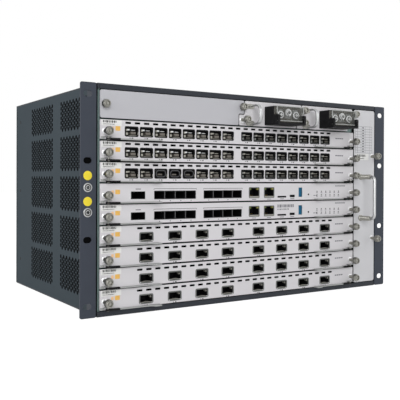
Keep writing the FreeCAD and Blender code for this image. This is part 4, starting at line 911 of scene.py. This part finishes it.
def chassis():
    """Sides, ears and the finishes of the plain sheets that stay as solids."""
    side_panel("left_side_panel", on_left)
    side_panel("right_side_panel", on_right)
    mounting_ear("left_mounting_ear", -1)
    mounting_ear("right_mounting_ear", 1)
    earth_fittings()
    heads, ends = Shape(), Shape()
    for x in (-190, -64, 64, 190):
        for y in (-120, 0, 130):
            heads.turned(from_above(HEIGHT), x, y, COVER_HEAD, 20)
    for x in (-205, -70, 70, 205):
        for z in (14, 250):
            heads.turned(on_back, x, z, COVER_HEAD, 20)
    emit(heads, "cover_screws", NICKEL, "chassis")
    for low, high in ((0.3, RAIL), (HEIGHT - RAIL, HEIGHT - 0.3)):
        for side in (-1, 1):
            end = (side * 218.4, low, side * (HALF_BODY - 0.1), high)
            ends.slab(on_front, end, back=1.5, front=0.05, edge=0.3)
    emit(ends, "rail_ends", RAIL_PAINT, "chassis")
    finish_node("top_cover", RAIL_PAINT)
    finish_node("bottom_plate", RAIL_PAINT)
    finish_node("rear_panel", SLATE)
    finish_node("card_cage", ZINC)
    finish_node("backplane_board", BOARD)


# The power row: stepped plates with a tab at the upper right, heights counted from POWER_FLOOR.
TAB = 9.0
TAB_SPLIT = 15.9
TAB_CORNER = 2.0
TAB_SCREW_HEIGHT = 24.65
POWER_TOP = 32.8
POWER_RIGHTS = (-16.3, 79.7, 175.7)
POWER_GAP = 0.6
SEAM_WIDENING = 0.4
SEAM = POWER_GAP + SEAM_WIDENING
BLOCK_WIDTH = 46.3
BLOCK_HEIGHT = 24.0
BLOCK_DEPTH = 19.0
BLOCK_LIFT = 3.0
CHEEK = 3.0
CHEEK_REACH = 29.0
HINGE_REACH = 25.0
HINGE_HEIGHT = 4.6
WELL = 5.0
TERMINAL_PITCH = 13.0


def stepped_outline(lower_left, upper_left, right):
    """Outline of a plate in the power row, with a tab at its upper right."""
    lower_right = right - TAB - POWER_GAP
    points = [(lower_left, PLATE_LOW), (lower_right, PLATE_LOW), (lower_right, TAB_SPLIT),
              (right - POWER_GAP, TAB_SPLIT), (right - POWER_GAP, POWER_TOP), (upper_left, POWER_TOP)]
    if upper_left != lower_left:
        step = TAB_SPLIT - SEAM
        points += [(upper_left, step), (lower_left, step)]
    return eased(points, TAB_CORNER)


def seam_shade(shape, at, right):
    """Black blocks in the stepped gap at the right of a plate in the power row: painted shade."""
    slack = 0.05
    lower, upper = right - TAB - POWER_GAP, right - POWER_GAP
    below_tab = TAB_SPLIT - slack
    for box in ((lower + slack, PLATE_LOW, lower + SEAM - slack, below_tab),
                (lower + slack, TAB_SPLIT - SEAM + slack, upper - TAB_CORNER, below_tab),
                (upper + slack, TAB_SPLIT + TAB_CORNER, upper + SEAM - slack, POWER_TOP)):
        shape.slab(at, box, back=SHADE_BACK, front=0.5, edge=0.1)


def bow(shape, x, low, height, reach, width, thickness, bend, flat):
    """Bow handle standing on the front, with round bends."""
    far = FRONT - reach + thickness / 2
    bottom, top = low + thickness / 2, low + height - thickness / 2
    radius = bend - thickness / 2
    path = [(x, FRONT + 0.5, bottom)]
    for n in range(7):
        angle = math.radians(90 * n / 6)
        path.append((x, far + radius * (1 - math.sin(angle)), bottom + radius * (1 - math.cos(angle))))
    path += [(x, y, bottom + top - z) for _, y, z in reversed(path)]
    shape.rod(path, width, thickness, flat)


def blank_panel():
    """Plain panel over the empty bay."""
    at = lifted(on_front, POWER_FLOOR)
    right = POWER_RIGHTS[0]
    plate = Shape()
    plate.sheet(at, stepped_outline(CARD_LEFT, CARD_LEFT, right))
    emit(plate, "blank_plate", DULL, "chassis", ["blank_panel"])
    shapes = new_shapes("metal", "neck", "cast", "steel", "shade")
    thumbscrew(shapes, CARD_LEFT + SCREW_INSET, POWER_FLOOR + 16.85, SHORT_NECK)
    thumbscrew(shapes, right - TAB / 2, POWER_FLOOR + TAB_SCREW_HEIGHT, SHORT_NECK)
    # Black strips in the gaps round the plate and in its stepped seam: painted shade.
    gap_shade(shapes["shade"], at, CARD_LEFT + 0.6, right - TAB - 2, SLOT_LOW, POWER_TOP + 0.5)
    seam_shade(shapes["shade"], at, right)
    emit_all(shapes, "blank_panel", "chassis")


def clear_cover(number, left, low):
    """Clear moulded cover: flap and top over the terminals, side walls above the cheeks, two hinge pegs."""
    cover = f"power_terminal_cover_{number}"
    wall, skin, step = 1.2, 0.75, 13.8
    right, top = left + BLOCK_WIDTH, low + BLOCK_HEIGHT
    inner_left, inner_right = left + CHEEK + 0.3, right - CHEEK - 0.3
    outer_left, outer_right = left + 0.4, right - 0.4
    hinge, back = FRONT - HINGE_REACH, FRONT - BLOCK_DEPTH - 0.3
    shape, edges = Shape(), Shape()
    flap = [(inner_left, 3.9), (inner_right, 3.9), (inner_right, step), (outer_right, step),
            (outer_right, BLOCK_HEIGHT), (outer_left, BLOCK_HEIGHT), (outer_left, step), (inner_left, step)]
    shape.sheet(behind(lifted(on_front, low), -HINGE_REACH - skin), flap, thickness=2 * skin, edge=0.3)
    for x in (outer_left, outer_right - wall):
        shape.block((x, hinge + 0.78, low + step), (x + wall, back, top - 1.55), 0.2)
    shape.block((outer_left, hinge + 0.78, top - 1.5), (outer_right, back, top), 0.2)
    for x, way in ((inner_left, 1), (inner_right, -1)):
        shape.turned(across(x, way), hinge, low + HINGE_HEIGHT, HINGE_PEG, 12)
    emit(shape, f"{cover}_moulding", CLEAR, cover, [cover])
    # Whitish bands along the flap, top and side walls: painted edge highlights.
    near, far = hinge - skin + 0.2, hinge - skin + 1.3
    edges.block((inner_left, near, low + 4.0), (inner_right, far, low + 5.2), 0.2)
    edges.block((outer_left, near, top - 1.2), (outer_right, far, top - 0.1), 0.2)
    for x in (outer_left, outer_right - wall):
        edges.block((x, near, low + step), (x + wall, far, top - 1.2), 0.2)
    emit(edges, f"{cover}_edges", CLEAR_HIGHLIGHT, cover)


def terminal_screws(screws, heads, middles, low):
    """Washers with cross-head screws in the outer wells and a square nut in the middle one."""
    base = behind(on_front, -BLOCK_DEPTH - 0.4)
    for n, x in enumerate(middles):
        z = low + (15.9 if n == 1 else 12.9)
        screws.turned(base, x, z, WASHER, 28, close=False)
        heads.slab(base, (x - 5.0, low + 8.1, x + 5.0, low + 20.5), back=5.5, front=0.3, edge=0.3)
        if n == 1:
            screws.turned(base, x, z, NUT, 4)
            heads.turned(base, x, z, STUD, 20)
            continue
        heads.turned(base, x, z, TERMINAL_HEAD, 24)
        for half_width, half_height in ((2.4, 0.4), (0.4, 2.4)):
            cross = (x - half_width, z - half_height, x + half_width, z + half_height)
            screws.slab(base, cross, back=-2.6, front=-3.0, edge=0.1)


def terminal_block(number, left):
    """Black terminal block with screws in its wells, cheeks at its ends and a clear cover."""
    name = f"power_module_{number}"
    node = f"power_terminal_block_{number}"
    wall = 1.2
    low = POWER_FLOOR + BLOCK_LIFT
    right, top = left + BLOCK_WIDTH, low + BLOCK_HEIGHT
    face_y, reach_y = FRONT - BLOCK_DEPTH, FRONT - CHEEK_REACH
    middles = [left + BLOCK_WIDTH / 2 + TERMINAL_PITCH * n for n in (-1, 0, 1)]
    body, face, screws, heads = Shape(), Shape(), Shape(), Shape()
    outline = rounded(*inset((left, 0, right, BLOCK_HEIGHT), 0.9), 0.6, 2)
    wells = [rounded(x - 5.25, 7.8, x + 5.25, 20.8, 0.6, 2) for x in middles]
    face.sheet(behind(lifted(on_front, low), -BLOCK_DEPTH), outline, wells, thickness=WELL)
    for x in (left, right - wall):
        body.block((x, face_y + 0.15, low), (x + wall, FRONT, top), 0.3)
    for z in (low, top - wall):
        body.block((left + 0.8, face_y + 0.15, z), (right - 0.8, FRONT, z + wall), 0.3)
    body.block((left + 0.5, face_y + WELL, low + 0.5), (right - 0.5, FRONT, top - 0.5), 0.2)
    profile = [(reach_y, 0), (face_y + 0.2, 0), (face_y + 0.2, 12.5), (reach_y + 1.6, 12.5),
               (reach_y, 11.2)]
    hole = ring(FRONT - HINGE_REACH, HINGE_HEIGHT, 1.3, 12)
    for x in (left, right - CHEEK):
        body.sheet(lifted(across(x), low), profile, [hole], thickness=CHEEK, edge=0.3)
    body.block((left + CHEEK, reach_y, low), (right - CHEEK, face_y + 0.2, low + 2.3), 0.3)
    emit(body, f"{node}_body", BLACK, name, [node])
    emit(face, f"{node}_face", FACE, name)
    terminal_screws(screws, heads, middles, low)
    emit(screws, f"{node}_screws", STEEL, name)
    emit(heads, f"{node}_screw_heads", FRAME, name)
    clear_cover(number, left, low)


def power_inside(name, tray_left, tray_right):
    """Open tray behind a power plate, with a filter can and four capacitors."""
    wall, front = 1.2, FRONT + PLATE
    back = front + 200
    floor, top = POWER_FLOOR + 0.9, POWER_FLOOR + POWER_TOP - 1.5
    tray, inside = Shape(), Shape()
    tray.block((tray_left, front, floor), (tray_right, back, floor + wall), 0.2)
    for x in (tray_left, tray_right - wall):
        tray.block((x, front, floor), (x + wall, back, top), 0.2)
    emit(tray, f"{name}_tray", ZINC, name)
    inside.block((tray_left + 12, FRONT + 50, floor + wall), (tray_right - 12, FRONT + 140, top - 2.4), 1.0)
    for n in range(4):
        x = tray_left + 8 + 12 * n
        inside.block((x, FRONT + 155, floor + wall), (x + 9, FRONT + 164, top - 8), 1)
    emit(inside, f"{name}_filter", DARK, name)


def power_module(number):
    """Power module with stepped plate, bow grip, screws and an open tray behind."""
    name = f"power_module_{number}"
    at = lifted(on_front, POWER_FLOOR)
    upper_left, right = POWER_RIGHTS[number - 1], POWER_RIGHTS[number]
    left = upper_left - TAB
    plate, grip, feet = Shape(), Shape(), Shape()
    plate.sheet(at, stepped_outline(left + SEAM_WIDENING, upper_left + SEAM_WIDENING, right))
    emit(plate, f"{name}_plate", PALE, name, [name])
    shapes = new_shapes("metal", "neck", "cast", "steel", "shade")
    thumbscrew(shapes, left + TAB / 2, POWER_FLOOR + TAB_SPLIT / 2, tone="cast")
    thumbscrew(shapes, right - TAB / 2, POWER_FLOOR + TAB_SCREW_HEIGHT, tone="cast")
    # Black strips in the gaps round the plate, and in the stepped seam of the first module: painted shade.
    gap_shade(shapes["shade"], at, upper_left + 2, right - TAB - 2, SLOT_LOW, POWER_TOP + 0.5)
    if number == 1:
        seam_shade(shapes["shade"], at, right)
    emit_all(shapes, name, name)
    bow(grip, left + 20.4, POWER_FLOOR + 2.2, height=26, reach=20, width=4.6, thickness=2.4, bend=9.5,
        flat=True)
    for foot in (4.4, 26.0):
        outline = rounded(left + 10.5, foot - 3.2, left + 24, foot + 3.2, 3.2, 5)
        feet.sheet(at, outline, thickness=0.9, raised=0.9)
        feet.turned(at, left + 13.6, foot, FOOT_RIVET, 16)
    emit(grip, f"{name}_grip", BRIGHT, name)
    emit(feet, f"{name}_grip_feet", NICKEL, name)
    power_inside(name, left + 12, right - TAB - 12)
    terminal_block(number, left + 41)


def fan_grip():
    """Rod grip of the fan tray with a ribbed sleeve at each end."""
    x, low, height = 192.5, 98, 64
    rod, sleeves = Shape(), Shape()
    bow(rod, x, low, height, reach=29, width=4.4, thickness=4.4, bend=8, flat=False)
    sleeve = [(1.0, -0.2), (4.4, -0.2), (4.4, 0.8), (3.5, 1.2)]
    for rib in range(8):
        rise = 2.3 * rib
        sleeve += [(3.5, 1.4 + rise), (2.9, 2.0 + rise), (3.5, 3.2 + rise)]
    for z in (low + 2.2, low + height - 2.2):
        sleeves.turned(on_front, x, z, sleeve + [(2.0, 20.0)], 24)
    emit(rod, "fan_grip_rod", BRIGHT, "fan_tray")
    emit(sleeves, "fan_grip_sleeves", NICKEL, "fan_tray")


def fan_cases():
    """Shelves of the fan tray and the fan frames on them, each with struts and a hub."""
    face = FAN_LEFT + 8
    half, opening, screw_place = 59, 55, 52.5
    shelves, cases = Shape(), Shape()
    for level in range(3):
        z = RAIL + 1.2 + level * FAN_STEP
        shelves.block((face, FRONT + PLATE, z), (face + FAN_DEPTH, FRONT + 247.2, z + 1.2), 0.2)
    emit(shelves, "fan_shelves", ZINC, "fan_tray")
    for y, z in FAN_CENTRES:
        outline = rounded(y - half, z - half, y + half, z + half, 5, 5)
        corners = [(y + a * screw_place, z + b * screw_place) for a in (-1, 1) for b in (-1, 1)]
        holes = [ring(y, z, opening, 48)] + [ring(*corner, 2.2, 12) for corner in corners]
        cases.sheet(across(face), outline, holes, thickness=FAN_DEPTH, edge=0.6)
        for half_y, half_z in ((54.5, 3), (3, 54.5)):
            strut = (y - half_y, z - half_z, y + half_y, z + half_z)
            cases.slab(across(face), strut, back=21.8, front=25.2, edge=0.4)
        cases.turned(across(face), y, z, FAN_HUB, 32)
    emit(cases, "fan_cases", BLACK, "fan_tray")


def fan_chart(shapes):
    """Label and ruled chart on the fan tray's plate, without words."""
    left, right, low, high, line = 181.5, 215.5, 194.6, 233.4, 0.35
    rows, step = 10, 3.85
    label(shapes, on_front, 183.4, 184.4, 208.6, 193.5)
    for row in range(rows + 1):
        z = low + step * row
        print_on(shapes["faint"], on_front, left, z, right, z + line)
        if row < rows:
            print_on(shapes["ink"], on_front, 195.6, z + 1.3, 199.0, z + 2.8)
    for x in (left, 186.0, 193.0, 201.4, 211.0, 215.2):
        print_on(shapes["faint"], on_front, x, low, x + line, high)


def fan_tray():
    """Pull-out fan tray with its plate, rod grip, screws, shelves and fan frames."""
    low, high = RAIL + PLATE_LOW, HEIGHT - RAIL - PLATE_LOW
    plate = Shape()
    plate.sheet(on_front, rounded(FAN_LEFT + 1.1, low, FAN_RIGHT, high, 3.2, 5))
    emit(plate, "fan_plate", FAN_PAINT, "fan_tray", ["fan_tray"])
    fan_grip()
    fan_cases()
    shapes = new_shapes("metal", "cast", "steel", "paper", "ink", "faint", "shade")
    for z in (70, 190):
        thumbscrew(shapes, FAN_RIGHT - SCREW_INSET, z, tone="cast")
    # Black strip in the gap left of the fan plate: painted shade.
    seam = (FAN_LEFT - 0.4, low, FAN_LEFT + 1.2, high)
    shapes["shade"].slab(on_front, seam, back=SHADE_BACK, front=0.3, edge=0.1)
    fan_chart(shapes)
    emit_all(shapes, "fan_plate", "fan_tray")


# Stage, in metres and degrees. The camera stands where the photo's stood.
CAMERA_PLACE = (-0.5256, -0.8424, 0.1567)
CAMERA_TURN = (89.71, -0.2, -32.47)
CAMERA_LENS = 60.03
CAMERA_SHIFT = -0.0453
FRONT_MIDDLE = (0, -0.1, 0.13)
SKY_LIGHT = 0.32
FLOOR_GLOW = 0.8


def stage():
    """Pale floor and world, soft lamps and the camera at the photo's view."""
    scene = bpy.context.scene
    scene.view_settings.view_transform = "Standard"
    world = bpy.data.worlds.new("studio")
    scene.world = world
    world.use_nodes = True
    tree = world.node_tree
    sky = tree.nodes["Background"]
    strength = node(tree, "MapRange", To_Min=SKY_LIGHT, To_Max=1.0)
    tree.links.new(seen_directly(tree), strength.inputs["Value"])
    tree.links.new(strength.outputs["Result"], sky.inputs["Strength"])
    sky.inputs["Color"].default_value = (1, 1, 1, 1)
    bpy.ops.mesh.primitive_plane_add(size=12, location=(0, 0, -0.0005))
    floor = bpy.context.object
    floor.name = "floor"
    floor.data.materials.append(floor_look())
    lamp("key", (-1.0, -2.2, 0.85), FRONT_MIDDLE, size=1.4, power=29)
    lamp("fill", (1.5, -1.4, 0.9), FRONT_MIDDLE, size=1.2, power=6)
    lamp("side", (-1.3, -0.3, 0.55), (-0.2, 0, 0.13), size=0.6, power=4.4)
    camera = bpy.data.objects.new("camera", bpy.data.cameras.new("camera"))
    scene.collection.objects.link(camera)
    camera.data.sensor_width = 36
    camera.data.lens = CAMERA_LENS
    camera.data.shift_y = CAMERA_SHIFT
    camera.location = CAMERA_PLACE
    camera.rotation_euler = [math.radians(angle) for angle in CAMERA_TURN]
    scene.camera = camera


def seen_directly(tree):
    """Socket that is 1 for rays from the camera, and for those that metal or clear plastic sends on."""
    path = node(tree, "LightPath")
    total = path.outputs["Is Camera Ray"]
    for word in ("Is Glossy Ray", "Is Transmission Ray"):
        joined = node(tree, "Math")
        joined.operation = "MAXIMUM"
        tree.links.new(total, joined.inputs[0])
        tree.links.new(path.outputs[word], joined.inputs[1])
        total = joined.outputs[0]
    return total


def floor_look():
    """Pale floor that is white to the camera where nothing shades it."""
    made = look("pale_floor", (196, 196, 196), 0.7, grain=0.02, fine=40, mottle=0.004)
    tree = made.node_tree
    shader = tree.nodes["Principled BSDF"]
    glow = node(tree, "Math")
    glow.operation = "MULTIPLY"
    glow.inputs[1].default_value = FLOOR_GLOW
    tree.links.new(seen_directly(tree), glow.inputs[0])
    shader.inputs["Emission Color"].default_value = (1, 1, 1, 1)
    tree.links.new(glow.outputs[0], shader.inputs["Emission Strength"])
    return made


def lamp(name, place, target, size, power):
    """Soft square lamp aimed at a point."""
    data = bpy.data.lights.new(name, "AREA")
    data.size = size
    data.energy = power
    light = bpy.data.objects.new(name, data)
    light.location = place
    aim = Vector(target) - Vector(place)
    light.rotation_euler = aim.to_track_quat("-Z", "Y").to_euler()
    bpy.context.scene.collection.objects.link(light)


chassis()
for slot_number, (card_name, card_kind) in enumerate(CARDS):
    card(slot_number, card_name, card_kind)
for button in ("lower_control_card_reset_button", "upper_control_card_reset_button"):
    finish_node(button, DARK, 0.1)
blank_panel()
power_module(1)
power_module(2)
fan_tray()
for rotor_number in range(1, len(FAN_CENTRES) + 1):
    finish_node(f"fan_rotor_{rotor_number}", DARK, 0.4)
stage()

bpy.context.view_layer.update()
